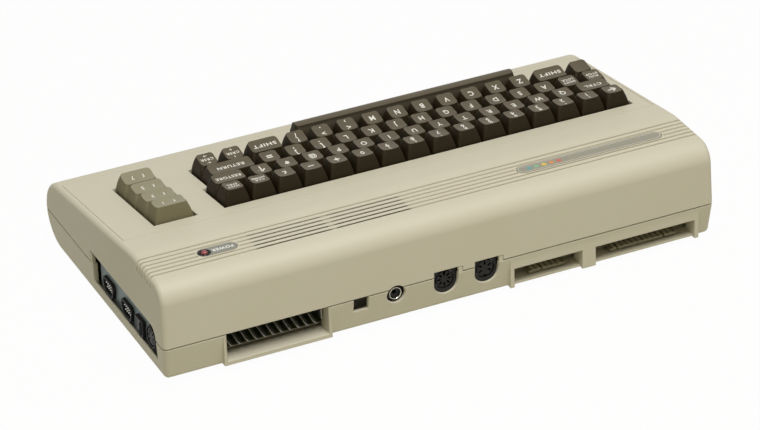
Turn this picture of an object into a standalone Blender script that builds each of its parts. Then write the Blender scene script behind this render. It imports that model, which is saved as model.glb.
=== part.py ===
"""Home computer of the early 1980s: keyboard and circuit boards in one wedge-shaped plastic case.

X runs to the user's right, Y to the rear and Z up. The origin lies on the table, under the
middle of the case. All lengths are metres and all angles are degrees.
"""
import math

import bmesh
import bpy
from mathutils import Matrix, Vector

# Case: overall size, parting line and outline
CASE_WIDTH = 0.404
CASE_DEPTH = 0.216
CASE_HEIGHT = 0.075
FOOT_HEIGHT = 0.005
PARTING_HEIGHT = 0.0294
SEAM_GAP = 0.0004
CASE_WALL = 0.0026
SIDE_EDGE_RADIUS = 0.0035
SIDE_DRAFT = 0.0012
CREST_FROM_REAR = 0.0511
PANEL_ANGLE = 7.68
FRONT_TOP_RADIUS = 0.024
FRONT_BOTTOM_RADIUS = 0.022
CREST_RADIUS = 0.050
STRIP_FALL = 0.0012
REAR_TOP_INSET = 0.0015
REAR_TOP_RADIUS = 0.014
REAR_BOTTOM_INSET = 0.0069
REAR_BOTTOM_RADIUS = 0.004
ARC_STEPS = 6
EDGE_STEPS = 3

# Clearances and cuts
FIT_GAP = 0.0003
OVERRUN = 0.004

# Keyboard: grid, openings and caps, along the sloping panel
KEY_PITCH = 0.01905
KEY_GAP = 0.00085
OPENING_MARGIN = 0.0012
OPENING_FROM_CREST = 0.03575
KEYS_LEFT_FROM_SIDE = 0.0164
FUNCTION_RIGHT_FROM_SIDE = 0.0323
ROW_OFFSET_SHARES = (0, 0, -0.25, -0.25, 3.25)
FUNCTION_WIDTH_SHARE = 1.5
ROW_TOP_HEIGHTS = (0.0116, 0.0099, 0.0090, 0.0100, 0.0088)
ROW_TILT_ANGLES = (7, 3, 0, -4, -4)
FUNCTION_TOP_HEIGHT = 0.0094
CAP_SKIRT = 0.0022
CAP_TOP_WIDTH_LOSS = 0.0066
CAP_TOP_DEPTH_LOSS = 0.0050
CAP_BASE_CORNER = 0.0009
CAP_TOP_CORNER = 0.0024
CAP_DISH = 0.0010
CAP_WALL = 0.0013
CAP_ROOF = 0.0024
CAP_LEVEL_SHARES = (0.0, 0.45, 0.8, 1.0)
CAP_TAPER_POWER = 2.1
KEY_TRAVEL = 0.0038
STEM_RADIUS = 0.0026
STEM_IN_FRAME = 0.0030

# Keyboard frame and board
FRAME_BELOW_CAPS = 0.0046
FRAME_THICKNESS = 0.0040
FRAME_LAP = 0.0030
FRAME_RIM = 0.0020
KEY_BOARD_GAP = 0.0032
KEY_BOARD_THICKNESS = 0.0016
KEY_BOARD_INSET = 0.0060
BOARD_POST_RADIUS = 0.0022

# Panel line, ribbed strip and vents
PANEL_LINE_SIDE = 0.0049
PANEL_LINE_REAR = 0.0116
PANEL_LINE_FRONT = 0.1068
PANEL_LINE_WIDTH = 0.0006
PANEL_LINE_DEPTH = 0.0005
GROOVE_COUNT = 6
GROOVE_PITCH = 0.00444
GROOVE_WIDTH = 0.0012
GROOVE_DEPTH = 0.0012
GROOVE_WRAP = 0.0066
LAST_GROOVE_FROM_REAR = 0.0203
VENT_LENGTH = 0.0528
VENT_SPACING = 0.0570
VENT_RIGHT_FROM_SIDE = 0.0768
VENT_WIDTH = 0.0013

# Badge, power lamp and their pads on the strip
PAD_RIM = 0.0012
PLATE_WIDTH = 0.0094
PLATE_THICKNESS = 0.0009
PLATE_RECESS = 0.0010
BADGE_LENGTH = 0.1094
BADGE_LEFT_FROM_SIDE = 0.0240
LABEL_LENGTH = 0.0276
LABEL_RIGHT_FROM_SIDE = 0.0394
LAMP_RADIUS = 0.0025
LAMP_HEIGHT = 0.0026
LAMP_TAIL = 0.0060
BEZEL_FLANGE_RADIUS = 0.0043
BEZEL_TUBE_RADIUS = 0.0035
BEZEL_WALL = 0.0007
BEZEL_FLANGE_HEIGHT = 0.0012
BEZEL_TUBE_LENGTH = 0.0055

# Main circuit board
BOARD_HEIGHT = 0.0090
BOARD_THICKNESS = 0.0016
BOARD_FRONT_FROM_REAR = 0.1500
BOARD_REAR_FROM_REAR = 0.0150
BOARD_SIDE_INSET = 0.0070
STANDOFF_RADIUS = 0.0030
CONTACT_PITCH = 0.00396
CARD_EDGE_FROM_REAR = 0.0075
CARD_SLOT_WIDTH = 0.0013
CARD_SLOT_DEPTH = 0.0070
CARD_MARGIN = 0.0015
TAPE_CONTACTS = 6
TAPE_SLOTS = (2,)
TAPE_CENTRE = -0.0778
USER_CONTACTS = 12
USER_SLOTS = (1, 10)
USER_CENTRE = -0.1513

# Bays in the rear wall
BAY_DEPTH = 0.0130
BAY_FACE_INSET = 0.0001
BAY_BOTTOM = 0.0059
BAY_TOP = 0.0200
BAY_FLOOR_TOP = 0.0074
BAY_FLOOR_INSET = 0.0038
BAY_ROOF = 0.0028
TAPE_BAY_RIGHT = -0.0498
TAPE_BAY_LEFT = -0.1010
USER_BAY_RIGHT = -0.1112
USER_BAY_LEFT = -0.1872
BAY_RIM = 0.0030
CARTRIDGE_RIGHT = 0.1585
CARTRIDGE_LEFT = 0.0862
CARTRIDGE_RIM = 0.0022
CARTRIDGE_FLOOR_TOP = 0.0088

# Cartridge socket and its shield
SOCKET_LENGTH = 0.0660
SOCKET_WIDTH = 0.0100
SOCKET_HEIGHT = 0.0150
SOCKET_FROM_REAR = 0.0560
SOCKET_SLOT_WIDTH = 0.0030
SOCKET_SLOT_LENGTH = 0.0575
SOCKET_SLOT_DEPTH = 0.0075
SHIELD_SHEET = 0.0006
SHIELD_HEIGHT = 0.0162
SHIELD_REAR_FROM_REAR = 0.0210
SHIELD_FRONT_FROM_REAR = 0.0400
SHIELD_LEG_WIDTH = 0.0050
FINGER_COUNT = 11
FINGER_PITCH = 0.0060
FINGER_WIDTH = 0.0026
FINGER_LENGTH = 0.0140
FINGER_FALL = 0.0016
SIDE_FIN_HEIGHT = 0.0110
SIDE_FIN_LENGTH = 0.0130

# Round sockets in the rear wall
DIN_HOLE_RADIUS = 0.0087
DIN_HOLE_TOP = 0.0332
DIN_HEIGHT = 0.0235
DIN_FACE_INSET = 0.0050
DIN_BODY_WIDTH = 0.0190
DIN_BODY_DEPTH = 0.0150
DIN_BODY_ABOVE = 0.0092
DIN_RING_RADIUS = 0.0076
DIN_RING_WIDTH = 0.0012
DIN_RING_DEPTH = 0.0050
DIN_PIN_RING_RADIUS = 0.0045
DIN_PIN_HOLE_RADIUS = 0.0008
DIN_PIN_HOLE_DEPTH = 0.0060
VIDEO_CENTRE = 0.0004
VIDEO_PIN_ANGLES = (0, 45, 90, 135, 180, 225, 315)
SERIAL_CENTRE = -0.0296
SERIAL_PIN_ANGLES = (0, 60, 120, 180, 240, 300)
EAR_WIDTH = 0.0032
JACK_CENTRE = 0.0370
JACK_HEIGHT = 0.0248
JACK_HOLE_RADIUS = 0.0066
JACK_RADIUS = 0.0042
JACK_BORE_RADIUS = 0.0016
JACK_BORE_DEPTH = 0.0080
JACK_NOSE = 0.0085
MODULATOR_LEFT = 0.0270
MODULATOR_RIGHT = 0.0745
MODULATOR_DEPTH = 0.0420
MODULATOR_HEIGHT = 0.0190
MODULATOR_FROM_REAR = 0.0116
SELECTOR_LEFT = 0.0572
SELECTOR_RIGHT = 0.0677
SELECTOR_BOTTOM = 0.0194
SELECTOR_SLOT_LENGTH = 0.0080
SELECTOR_SLOT_HEIGHT = 0.0030
SELECTOR_SLOT_DEPTH = 0.0060
SELECTOR_KNOB_LENGTH = 0.0034
SELECTOR_KNOB_REACH = 0.0044
SELECTOR_TRAVEL = 0.0036

# Opening in the right side and what sits in it
SIDE_OPENING_FRONT = -0.0120
SIDE_OPENING_REAR = 0.0940
SIDE_OPENING_BOTTOM = 0.0172
SIDE_OPENING_TOP = 0.0382
SIDE_OPENING_RADIUS = 0.0095
SIDE_TAB_WIDTH = 0.0048
SIDE_TAB_HEIGHT = 0.0078
PLATE_SET_BACK = 0.0052
SIDE_PLATE_SHEET = 0.0008
SIDE_PLATE_FRONT = -0.0260
SIDE_PLATE_REAR = 0.0960
SIDE_PLATE_TOP = 0.0430
PORT_ONE_CENTRE = 0.0042
PORT_TWO_CENTRE = 0.0372
PORT_HEIGHT = 0.0229
PORT_WIDTH = 0.0200
PORT_DEPTH_OF_D = 0.0106
PORT_NARROWING = 0.0030
PORT_CORNER = 0.0026
PORT_WALL = 0.0013
PORT_NOSE = 0.0036
PORT_BODY_DEPTH = 0.0120
PORT_BODY_MARGIN = 0.0010
PORT_RECESS = 0.0062
PIN_PITCH = 0.00277
PIN_ROW_SPACING = 0.00284
PIN_RADIUS = 0.0005
PIN_LENGTH = 0.0048
SWITCH_CENTRE = 0.0595
SWITCH_HEIGHT = 0.0233
SWITCH_WIDTH = 0.0128
SWITCH_TALL = 0.0116
SWITCH_FRAME = 0.0011
SWITCH_NOSE = 0.0030
SWITCH_BODY_DEPTH = 0.0150
ROCKER_SWING = 8
ROCKER_DEPTH = 0.0050
ROCKER_PROUD = 0.0006
ROCKER_VALLEY = 0.0010
ROCKER_POCKET_DEPTH = 0.0080
ROCKER_PIVOT_DEPTH = 0.0022
POWER_CENTRE = 0.0806
POWER_HEIGHT = 0.0266
POWER_RADIUS = 0.0078
POWER_RING_RADIUS = 0.0068
POWER_RING_WIDTH = 0.0011
POWER_NOSE = 0.0030
POWER_BODY_DEPTH = 0.0140
POWER_PIN_ANGLES = (0, 45, 90, 135, 180, 225, 315)

# Feet
FOOT_RADIUS = 0.0085
FOOT_EDGE = 0.0010
FOOT_SIDE_INSET = 0.0260
FOOT_REAR_INSET = 0.0300
FOOT_FRONT_INSET = 0.0420
FOOT_SIDES = 16

HALF_WIDTH = CASE_WIDTH / 2
HALF_DEPTH = CASE_DEPTH / 2
CASE_FLOOR = FOOT_HEIGHT + CASE_WALL
BOARD_TOP = BOARD_HEIGHT + BOARD_THICKNESS
PANEL_SLOPE = math.radians(PANEL_ANGLE)
CREST_Y = HALF_DEPTH - CREST_FROM_REAR
KEYS_LEFT = -HALF_WIDTH + KEYS_LEFT_FROM_SIDE
FUNCTION_LEFT = HALF_WIDTH - FUNCTION_RIGHT_FROM_SIDE - FUNCTION_WIDTH_SHARE * KEY_PITCH
FRAME_TOP = -CAP_SKIRT - FRAME_BELOW_CAPS
FRAME_BOTTOM = FRAME_TOP - FRAME_THICKNESS
PORT_PLANE = HALF_WIDTH - PLATE_SET_BACK
STRIP_MIDDLE = HALF_DEPTH - LAST_GROOVE_FROM_REAR - (GROOVE_COUNT - 1) * GROOVE_PITCH / 2
STRIP_REAR = HALF_DEPTH - REAR_TOP_INSET
STRIP_HEIGHT = CASE_HEIGHT - STRIP_FALL * (STRIP_MIDDLE - CREST_Y) / (STRIP_REAR - CREST_Y)
PAD_WIDTH = PLATE_WIDTH + 2 * PAD_RIM

DARK = {"name": "dark_brown_abs", "colour": (0.052, 0.045, 0.033), "roughness": 0.45}
GREY = {"name": "grey_brown_abs", "colour": (0.26, 0.24, 0.18), "roughness": 0.45}
BEIGE = {"name": "beige_abs", "colour": (0.62, 0.58, 0.45), "roughness": 0.55}
BLACK = {"name": "black_plastic", "colour": (0.014, 0.014, 0.015), "roughness": 0.4}
RED = {"name": "red_lens", "colour": (0.35, 0.012, 0.015), "roughness": 0.15}
SILVER = {"name": "badge_aluminium", "colour": (0.33, 0.32, 0.28), "roughness": 0.35, "metallic": 0.6}
TIN = {"name": "tinned_steel", "colour": (0.55, 0.55, 0.52), "roughness": 0.35, "metallic": 1.0}
PLATE = {"name": "zinc_plate", "colour": (0.20, 0.24, 0.27), "roughness": 0.45, "metallic": 0.8}
GREEN = {"name": "circuit_board", "colour": (0.09, 0.12, 0.05), "roughness": 0.5}

KEY_ROWS = (
    (("arrow_left", 1), ("1", 1), ("2", 1), ("3", 1), ("4", 1), ("5", 1), ("6", 1), ("7", 1),
     ("8", 1), ("9", 1), ("0", 1), ("plus", 1), ("minus", 1), ("pound", 1), ("home", 1), ("delete", 1)),
    (("control", 1.5), ("q", 1), ("w", 1), ("e", 1), ("r", 1), ("t", 1), ("y", 1), ("u", 1),
     ("i", 1), ("o", 1), ("p", 1), ("at", 1), ("star", 1), ("arrow_up", 1), ("restore", 1.5)),
    (("stop", 1), ("shift_lock", 1), ("a", 1), ("s", 1), ("d", 1), ("f", 1), ("g", 1), ("h", 1),
     ("j", 1), ("k", 1), ("l", 1), ("colon", 1), ("semicolon", 1), ("equals", 1), ("return", 2)),
    (("blank", 1), ("shift_left", 1.5), ("z", 1), ("x", 1), ("c", 1), ("v", 1), ("b", 1), ("n", 1),
     ("m", 1), ("comma", 1), ("full_stop", 1), ("slash", 1), ("shift_right", 1.5),
     ("cursor_down", 1), ("cursor_right", 1)),
    (("space", 9),),
)
MOVING_IN_LOWER_ROWS = ("shift_lock", "return", "shift_left", "shift_right", "space")


def clear_scene():
    """Start from an empty scene."""
    for item in list(bpy.data.objects):
        bpy.data.objects.remove(item, do_unlink=True)


def surface(finish):
    """Return the material for a finish, made once."""
    found = bpy.data.materials.get(finish["name"])
    if found:
        return found
    made = bpy.data.materials.new(finish["name"])
    made.use_nodes = True
    shader = made.node_tree.nodes["Principled BSDF"]
    shader.inputs["Base Color"].default_value = (*finish["colour"], 1)
    shader.inputs["Roughness"].default_value = finish["roughness"]
    shader.inputs["Metallic"].default_value = finish.get("metallic", 0.0)
    made.diffuse_color = (*finish["colour"], 1)
    return made


def add_object(name, mesh, finish=None, parent=None, place=(0, 0, 0), smooth=False):
    """Put a mesh in the scene under a name, with its finish, parent and place."""
    item = bpy.data.objects.new(name, mesh)
    bpy.context.scene.collection.objects.link(item)
    item.location = place
    item.parent = parent
    if finish:
        mesh.materials.clear()
        mesh.materials.append(surface(finish))
    if smooth:
        mesh.shade_smooth()
        mesh.set_sharp_from_angle(angle=math.radians(35))
    return item


def to_mesh(form, name):
    """Turn a bmesh into mesh data with its faces pointing out."""
    bmesh.ops.recalc_face_normals(form, faces=form.faces)
    mesh = bpy.data.meshes.new(name)
    form.to_mesh(mesh)
    form.free()
    return mesh


def loft(form, rings, close_start=True, close_end=True):
    """Join rings of equal point counts with faces, and close the two ends."""
    loops = [[form.verts.new(point) for point in ring] for ring in rings]
    count = len(loops[0])
    for lower, upper in zip(loops, loops[1:]):
        for index in range(count):
            after = (index + 1) % count
            form.faces.new((lower[index], lower[after], upper[after], upper[index]))
    if close_start:
        form.faces.new(loops[0][::-1])
    if close_end:
        form.faces.new(loops[-1])
    return loops


def box(form, low, high):
    """Add a box between two corners."""
    (x0, y0, z0), (x1, y1, z1) = low, high
    lower = [(x0, y0, z0), (x1, y0, z0), (x1, y1, z0), (x0, y1, z0)]
    upper = [(x, y, z1) for x, y, _ in lower]
    return loft(form, (lower, upper))


def circle(radius, sides, start=0.0):
    """Points round a circle in its own plane."""
    turns = [start + 2 * math.pi * index / sides for index in range(sides)]
    return [(radius * math.cos(turn), radius * math.sin(turn)) for turn in turns]


def rounded_rectangle(half_width, half_depth, corner, steps=1):
    """Points round a rectangle whose corners are arcs of some steps."""
    points = []
    for quarter, (sx, sy) in enumerate(((1, 1), (-1, 1), (-1, -1), (1, -1))):
        centre_x = sx * (half_width - corner)
        centre_y = sy * (half_depth - corner)
        for step in range(steps + 1):
            turn = math.pi / 2 * (quarter + step / steps)
            points.append((centre_x + corner * math.cos(turn), centre_y + corner * math.sin(turn)))
    return points


def stadium(length, width, steps):
    """Points round a bar with half-round ends."""
    radius = width / 2
    points = []
    for side in (1, -1):
        for step in range(steps + 1):
            turn = side * math.pi / 2 * (2 * step / steps - 1) + (0 if side > 0 else math.pi)
            turn = -math.pi / 2 + math.pi * step / steps + (0 if side > 0 else math.pi)
            points.append((side * (length / 2 - radius) + radius * math.cos(turn), radius * math.sin(turn)))
    return points


def fillet(before, corner, after, radius, steps):
    """Points of an arc of a radius that rounds a corner between two lines."""
    to_before = (before - corner).normalized()
    to_after = (after - corner).normalized()
    half = to_before.angle(to_after) / 2
    centre = corner + (to_before + to_after).normalized() * (radius / math.sin(half))
    start = corner + to_before * (radius / math.tan(half)) - centre
    end = corner + to_after * (radius / math.tan(half)) - centre
    sweep = math.pi - 2 * half
    points = []
    for step in range(steps + 1):
        part = step / steps
        blend = start * math.sin((1 - part) * sweep) + end * math.sin(part * sweep)
        points.append(centre + blend / math.sin(sweep))
    return points


def outline(corners, radii):
    """A side outline through corner points, with the inner ones rounded."""
    points = [corners[0]]
    for index, radius in enumerate(radii, start=1):
        steps = ARC_STEPS if radius < CREST_RADIUS else EDGE_STEPS
        points += fillet(corners[index - 1], corners[index], corners[index + 1], radius, steps)
    points.append(corners[-1])
    return points


def inset(points, distance):
    """Move an open outline inward, keeping its two ends at their height."""
    moved = []
    for index, point in enumerate(points):
        back = points[max(index - 1, 0)]
        ahead = points[min(index + 1, len(points) - 1)]
        first = (point - back) if index else (ahead - point)
        second = (ahead - point) if index < len(points) - 1 else (point - back)
        normal_one = Vector((first.y, -first.x)).normalized()
        normal_two = Vector((second.y, -second.x)).normalized()
        normal = (normal_one + normal_two) / (1 + normal_one.dot(normal_two))
        shifted = point + normal * distance
        if index in (0, len(points) - 1):
            along = second if index == 0 else first
            shifted += along * ((point.y - shifted.y) / along.y)
        moved.append(shifted)
    return moved


def case_half(name, points, far_height):
    """A solid half case: its side outline carried across the width, with rounded side edges."""
    stations = []
    for step in range(EDGE_STEPS + 1):
        turn = math.pi / 2 * step / EDGE_STEPS
        reach = HALF_WIDTH - SIDE_EDGE_RADIUS + SIDE_EDGE_RADIUS * math.cos(turn)
        stations.append((reach, SIDE_EDGE_RADIUS * (1 - math.sin(turn))))
    stations = [(-reach, depth) for reach, depth in stations] + stations[::-1]
    rings = []
    for reach, depth in stations:
        ring = []
        for point in inset(points, depth):
            rise = abs(point.y - PARTING_HEIGHT) / abs(far_height - PARTING_HEIGHT)
            side = math.copysign(1, reach)
            ring.append((reach - side * SIDE_DRAFT * rise, point.x, point.y))
        rings.append(ring)
    form = bmesh.new()
    loft(form, rings)
    return add_object(name, to_mesh(form, name), BEIGE)


def cutter(name, form, place=(0, 0, 0), parent=None):
    """A tool for cutting or joining, which is no part of the object."""
    tool = add_object(name, to_mesh(form, name), parent=parent, place=place)
    tool.display_type = "WIRE"
    tool.hide_render = True
    return tool


def combine(item, tool, operation="DIFFERENCE"):
    """Cut a tool out of an object, or join it on."""
    change = item.modifiers.new(tool.name, "BOOLEAN")
    change.operation = operation
    change.solver = "EXACT"
    change.object = tool


def prism(form, points, low, high, axis="z", centre=(0, 0, 0)):
    """Carry a flat outline from low to high along an axis."""
    order = {"x": lambda u, v, w: (w, u, v), "y": lambda u, v, w: (u, w, v), "z": lambda u, v, w: (u, v, w)}
    arrange = order[axis]
    rings = []
    for reach in (low, high):
        ring = [Vector(arrange(u, v, reach)) + Vector(centre) for u, v in points]
        rings.append(ring)
    loft(form, rings)


def tube_rings(profile, sides, axis="z", centre=(0, 0, 0)):
    """Rings of a turned form, given as radius and reach pairs."""
    order = {"x": lambda u, v, w: (w, u, v), "y": lambda u, v, w: (u, w, v), "z": lambda u, v, w: (u, v, w)}
    arrange = order[axis]
    middle = Vector(centre)
    return [[middle + Vector(arrange(u, v, reach)) for u, v in circle(radius, sides)]
            for radius, reach in profile]


def key_span(row, index):
    """Left edge and width of a key of a row, in key pitches."""
    left = ROW_OFFSET_SHARES[row] + sum(width for _, width in KEY_ROWS[row][:index])
    return left, KEY_ROWS[row][index][1]


def keyboard_place():
    """The keyboard's own frame: on the panel, at the rear edge of the key opening."""
    anchor = bpy.data.objects.new("keyboard", None)
    bpy.context.scene.collection.objects.link(anchor)
    along = OPENING_FROM_CREST
    anchor.location = (0, CREST_Y - along * math.cos(PANEL_SLOPE), CASE_HEIGHT - along * math.sin(PANEL_SLOPE))
    anchor.rotation_euler = (PANEL_SLOPE, 0, 0)
    return anchor


def opening_outline():
    """The stepped main key opening, seen from above, on the panel."""
    edge = OPENING_MARGIN
    left = KEYS_LEFT - edge
    right = KEYS_LEFT + 16 * KEY_PITCH + edge
    shift = ROW_OFFSET_SHARES[2] * KEY_PITCH
    bar_left = KEYS_LEFT + ROW_OFFSET_SHARES[4] * KEY_PITCH - edge
    bar_right = bar_left + KEY_ROWS[4][0][1] * KEY_PITCH + 2 * edge
    jog_left = -2 * KEY_PITCH
    jog_right = -2 * KEY_PITCH - 2 * edge
    front = -4 * KEY_PITCH - 2 * edge
    bar_front = -5 * KEY_PITCH - 2 * edge
    return [
        (left, 0), (left, jog_left), (left + shift, jog_left), (left + shift, front),
        (bar_left, front), (bar_left, bar_front), (bar_right, bar_front), (bar_right, front),
        (right + shift, front), (right + shift, jog_right), (right, jog_right), (right, 0),
    ]


def function_outline():
    """The opening for the four function keys."""
    left = FUNCTION_LEFT - OPENING_MARGIN
    right = FUNCTION_LEFT + FUNCTION_WIDTH_SHARE * KEY_PITCH + OPENING_MARGIN
    front = -4 * KEY_PITCH - 2 * OPENING_MARGIN
    return [(left, 0), (left, front), (right, front), (right, 0)]


def cap_form(form, width_share, top_height, tilt_angle, stem_end, hollow, centre=(0, 0)):
    """One keycap: flared sides, a dished and tilted top, and a stem below."""
    half_width = (width_share * KEY_PITCH - KEY_GAP) / 2
    half_depth = (KEY_PITCH - KEY_GAP) / 2
    tilt = math.tan(math.radians(tilt_angle))
    middle = Vector((centre[0], centre[1], 0))

    def ring(half_x, half_y, corner, height, lean=0.0):
        points = rounded_rectangle(half_x, half_y, corner)
        return [middle + Vector((x, y, height + lean * y)) for x, y in points]

    outer = []
    for share in CAP_LEVEL_SHARES:
        loss = share ** CAP_TAPER_POWER
        half_x = half_width - loss * CAP_TOP_WIDTH_LOSS / 2
        half_y = half_depth - loss * CAP_TOP_DEPTH_LOSS / 2
        corner = CAP_BASE_CORNER + (CAP_TOP_CORNER - CAP_BASE_CORNER) * share
        height = -CAP_SKIRT + share * (CAP_SKIRT + top_height)
        outer.append(ring(half_x, half_y, corner, height, tilt * share))
    stem = [middle + Vector((x, y, stem_end)) for x, y in circle(STEM_RADIUS, 8, math.pi / 8)]
    rings = [stem]
    if hollow:
        roof = top_height - CAP_ROOF
        rings.append([Vector((x, y, roof)) for x, y, _ in stem])
        roof_x = half_width - CAP_TOP_WIDTH_LOSS / 2 - CAP_WALL
        roof_y = half_depth - CAP_TOP_DEPTH_LOSS / 2 - CAP_WALL
        rings.append(ring(roof_x, roof_y, CAP_BASE_CORNER, roof, tilt))
        rings.append(ring(half_width - CAP_WALL, half_depth - CAP_WALL, CAP_BASE_CORNER, -CAP_SKIRT))
    else:
        rings.append([Vector((x, y, -CAP_SKIRT)) for x, y, _ in stem])
    loops = loft(form, rings + outer, close_end=False)
    rim = loops[-1]
    drop = top_height - CAP_DISH
    reach = half_width - CAP_TOP_WIDTH_LOSS / 2 - (half_depth - CAP_TOP_DEPTH_LOSS / 2)
    if width_share == 1:
        bottom = form.verts.new(middle + Vector((0, 0, drop)))
        for index in range(8):
            form.faces.new((rim[index], rim[(index + 1) % 8], bottom))
        return
    right = form.verts.new(middle + Vector((reach, 0, drop)))
    left = form.verts.new(middle + Vector((-reach, 0, drop)))
    for index, ends in enumerate(((right, right), (right, left), (left, left), (left, left),
                                  (left, left), (left, right), (right, right), (right, right))):
        near, far = ends
        corner, following = rim[index], rim[(index + 1) % 8]
        if near is far:
            form.faces.new((corner, following, near))
        else:
            form.faces.new((corner, following, far, near))


def key_centre(left_share, width_share, row, origin):
    """Middle of a key in the keyboard's frame."""
    across = origin + (left_share + width_share / 2) * KEY_PITCH
    return across, -OPENING_MARGIN - (row + 0.5) * KEY_PITCH


def is_moving(row, name):
    """Keys with a node and a joint of their own; the others are moulded with the frame."""
    return row < 2 or name in MOVING_IN_LOWER_ROWS


def make_keys(anchor):
    """The travelling keys, and the caps that stand on the frame."""
    stem_end = FRAME_TOP - STEM_IN_FRAME
    shared = {}
    stems = []
    fixed = bmesh.new()

    def travelling(name, width, top, tilt, centre, finish):
        kind = (width, top, tilt, finish["name"])
        if kind not in shared:
            form = bmesh.new()
            cap_form(form, width, top, tilt, stem_end, hollow=True)
            shared[kind] = to_mesh(form, "key_cap")
        add_object(name, shared[kind], finish, anchor, (*centre, 0), smooth=True)
        stems.append(centre)

    for row, keys in enumerate(KEY_ROWS):
        for index, (name, width) in enumerate(keys):
            left, _ = key_span(row, index)
            centre = key_centre(left, width, row, KEYS_LEFT)
            top, tilt = ROW_TOP_HEIGHTS[row], ROW_TILT_ANGLES[row]
            if is_moving(row, name):
                travelling("key_" + name, width, top, tilt, centre, DARK)
            else:
                cap_form(fixed, width, top, tilt, FRAME_TOP - FRAME_THICKNESS / 2, False, centre)
    for row, name in enumerate(("f1", "f3", "f5", "f7")):
        centre = key_centre(0, FUNCTION_WIDTH_SHARE, row, FUNCTION_LEFT)
        travelling("key_" + name, FUNCTION_WIDTH_SHARE, FUNCTION_TOP_HEIGHT, 0, centre, GREY)
    return stems, fixed


def make_keyboard(anchor):
    """The key frame, the caps fixed to it, and the contact board beneath."""
    stems, fixed = make_keys(anchor)
    left = KEYS_LEFT + ROW_OFFSET_SHARES[2] * KEY_PITCH - OPENING_MARGIN - FRAME_LAP
    right = FUNCTION_LEFT + FUNCTION_WIDTH_SHARE * KEY_PITCH + OPENING_MARGIN + FRAME_LAP
    rear = FRAME_LAP
    front = -5 * KEY_PITCH - 2 * OPENING_MARGIN - FRAME_LAP
    seat = -CASE_WALL - FIT_GAP
    form = bmesh.new()
    box(form, (left, front, FRAME_BOTTOM), (right, rear, seat))
    frame = add_object("keyboard_frame", to_mesh(form, "keyboard_frame"), DARK, anchor)
    hollow = bmesh.new()
    box(hollow, (left + FRAME_RIM, front + FRAME_RIM, FRAME_TOP), (right - FRAME_RIM, rear - FRAME_RIM, OVERRUN))
    combine(frame, cutter("frame_hollow", hollow, parent=anchor))
    combine(frame, cutter("fixed_caps", fixed, parent=anchor), "UNION")
    guides = bmesh.new()
    for x, y in stems:
        points = circle(STEM_RADIUS + FIT_GAP, 8, math.pi / 8)
        prism(guides, points, FRAME_BOTTOM - OVERRUN, FRAME_TOP + OVERRUN / 2, centre=(x, y, 0))
    combine(frame, cutter("stem_guides", guides, parent=anchor))

    top = FRAME_BOTTOM - KEY_BOARD_GAP
    side = KEY_BOARD_INSET
    board = bmesh.new()
    box(board, (left + side, front + side, top - KEY_BOARD_THICKNESS), (right - side, rear - side, top))
    contact_board = add_object("keyboard_board", to_mesh(board, "keyboard_board"), GREEN, anchor)
    posts = bmesh.new()
    for x in (left + 2 * side, FUNCTION_LEFT - side, right - 2 * side):
        for y in (front + 2 * side, -2 * KEY_PITCH - OPENING_MARGIN, rear - 2 * side):
            points = circle(BOARD_POST_RADIUS, 8)
            prism(posts, points, top - KEY_BOARD_THICKNESS / 2, FRAME_BOTTOM - FIT_GAP, centre=(x, y, 0))
    combine(contact_board, cutter("board_posts", posts, parent=anchor), "UNION")


def upper_outline():
    """Side outline of the upper case, from the front parting line over the top to the rear."""
    level = PARTING_HEIGHT + SEAM_GAP / 2
    corner_height = CASE_HEIGHT - (CREST_Y + HALF_DEPTH) * math.tan(PANEL_SLOPE)
    corners = [
        Vector((-HALF_DEPTH, level)), Vector((-HALF_DEPTH, corner_height)), Vector((CREST_Y, CASE_HEIGHT)),
        Vector((STRIP_REAR, CASE_HEIGHT - STRIP_FALL)), Vector((HALF_DEPTH, level)),
    ]
    return outline(corners, (FRONT_TOP_RADIUS, CREST_RADIUS, REAR_TOP_RADIUS))


def lower_outline():
    """Side outline of the lower case, from the rear parting line under the floor to the front."""
    level = PARTING_HEIGHT - SEAM_GAP / 2
    corners = [
        Vector((HALF_DEPTH, level)), Vector((HALF_DEPTH - REAR_BOTTOM_INSET, FOOT_HEIGHT)),
        Vector((-HALF_DEPTH, FOOT_HEIGHT)), Vector((-HALF_DEPTH, level)),
    ]
    return outline(corners, (REAR_BOTTOM_RADIUS, FRONT_BOTTOM_RADIUS))


def hollow_half(case, points, name):
    """Take the inside out of a half case, leaving its wall."""
    inner = inset(points, CASE_WALL)
    away = OVERRUN if points[1].y < points[0].y else -OVERRUN
    reach = HALF_WIDTH - CASE_WALL - SIDE_DRAFT
    ring = [inner[0] + Vector((0, away))] + inner + [inner[-1] + Vector((0, away))]
    form = bmesh.new()
    prism(form, [(p.x, p.y) for p in ring], -reach, reach, axis="x")
    combine(case, cutter(name, form))


def groove_cutters(case):
    """Six grooves across the strip, each turning down over both side edges."""
    form = bmesh.new()
    outer = HALF_WIDTH + OVERRUN
    inner = HALF_WIDTH - SIDE_DRAFT - GROOVE_DEPTH
    top = CASE_HEIGHT + OVERRUN
    for index in range(GROOVE_COUNT):
        y = HALF_DEPTH - LAST_GROOVE_FROM_REAR - index * GROOVE_PITCH
        fall = STRIP_FALL * (y - CREST_Y) / (STRIP_REAR - CREST_Y)
        bed = CASE_HEIGHT - fall - GROOVE_DEPTH
        wrap = CASE_HEIGHT - fall - GROOVE_WRAP
        staple = [(-outer, wrap), (-inner, wrap), (-inner, bed), (inner, bed), (inner, wrap), (outer, wrap),
                  (outer, top), (-outer, top)]
        prism(form, staple, y - GROOVE_WIDTH / 2, y + GROOVE_WIDTH / 2, axis="y")
    combine(case, cutter("grooves", form))


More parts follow.
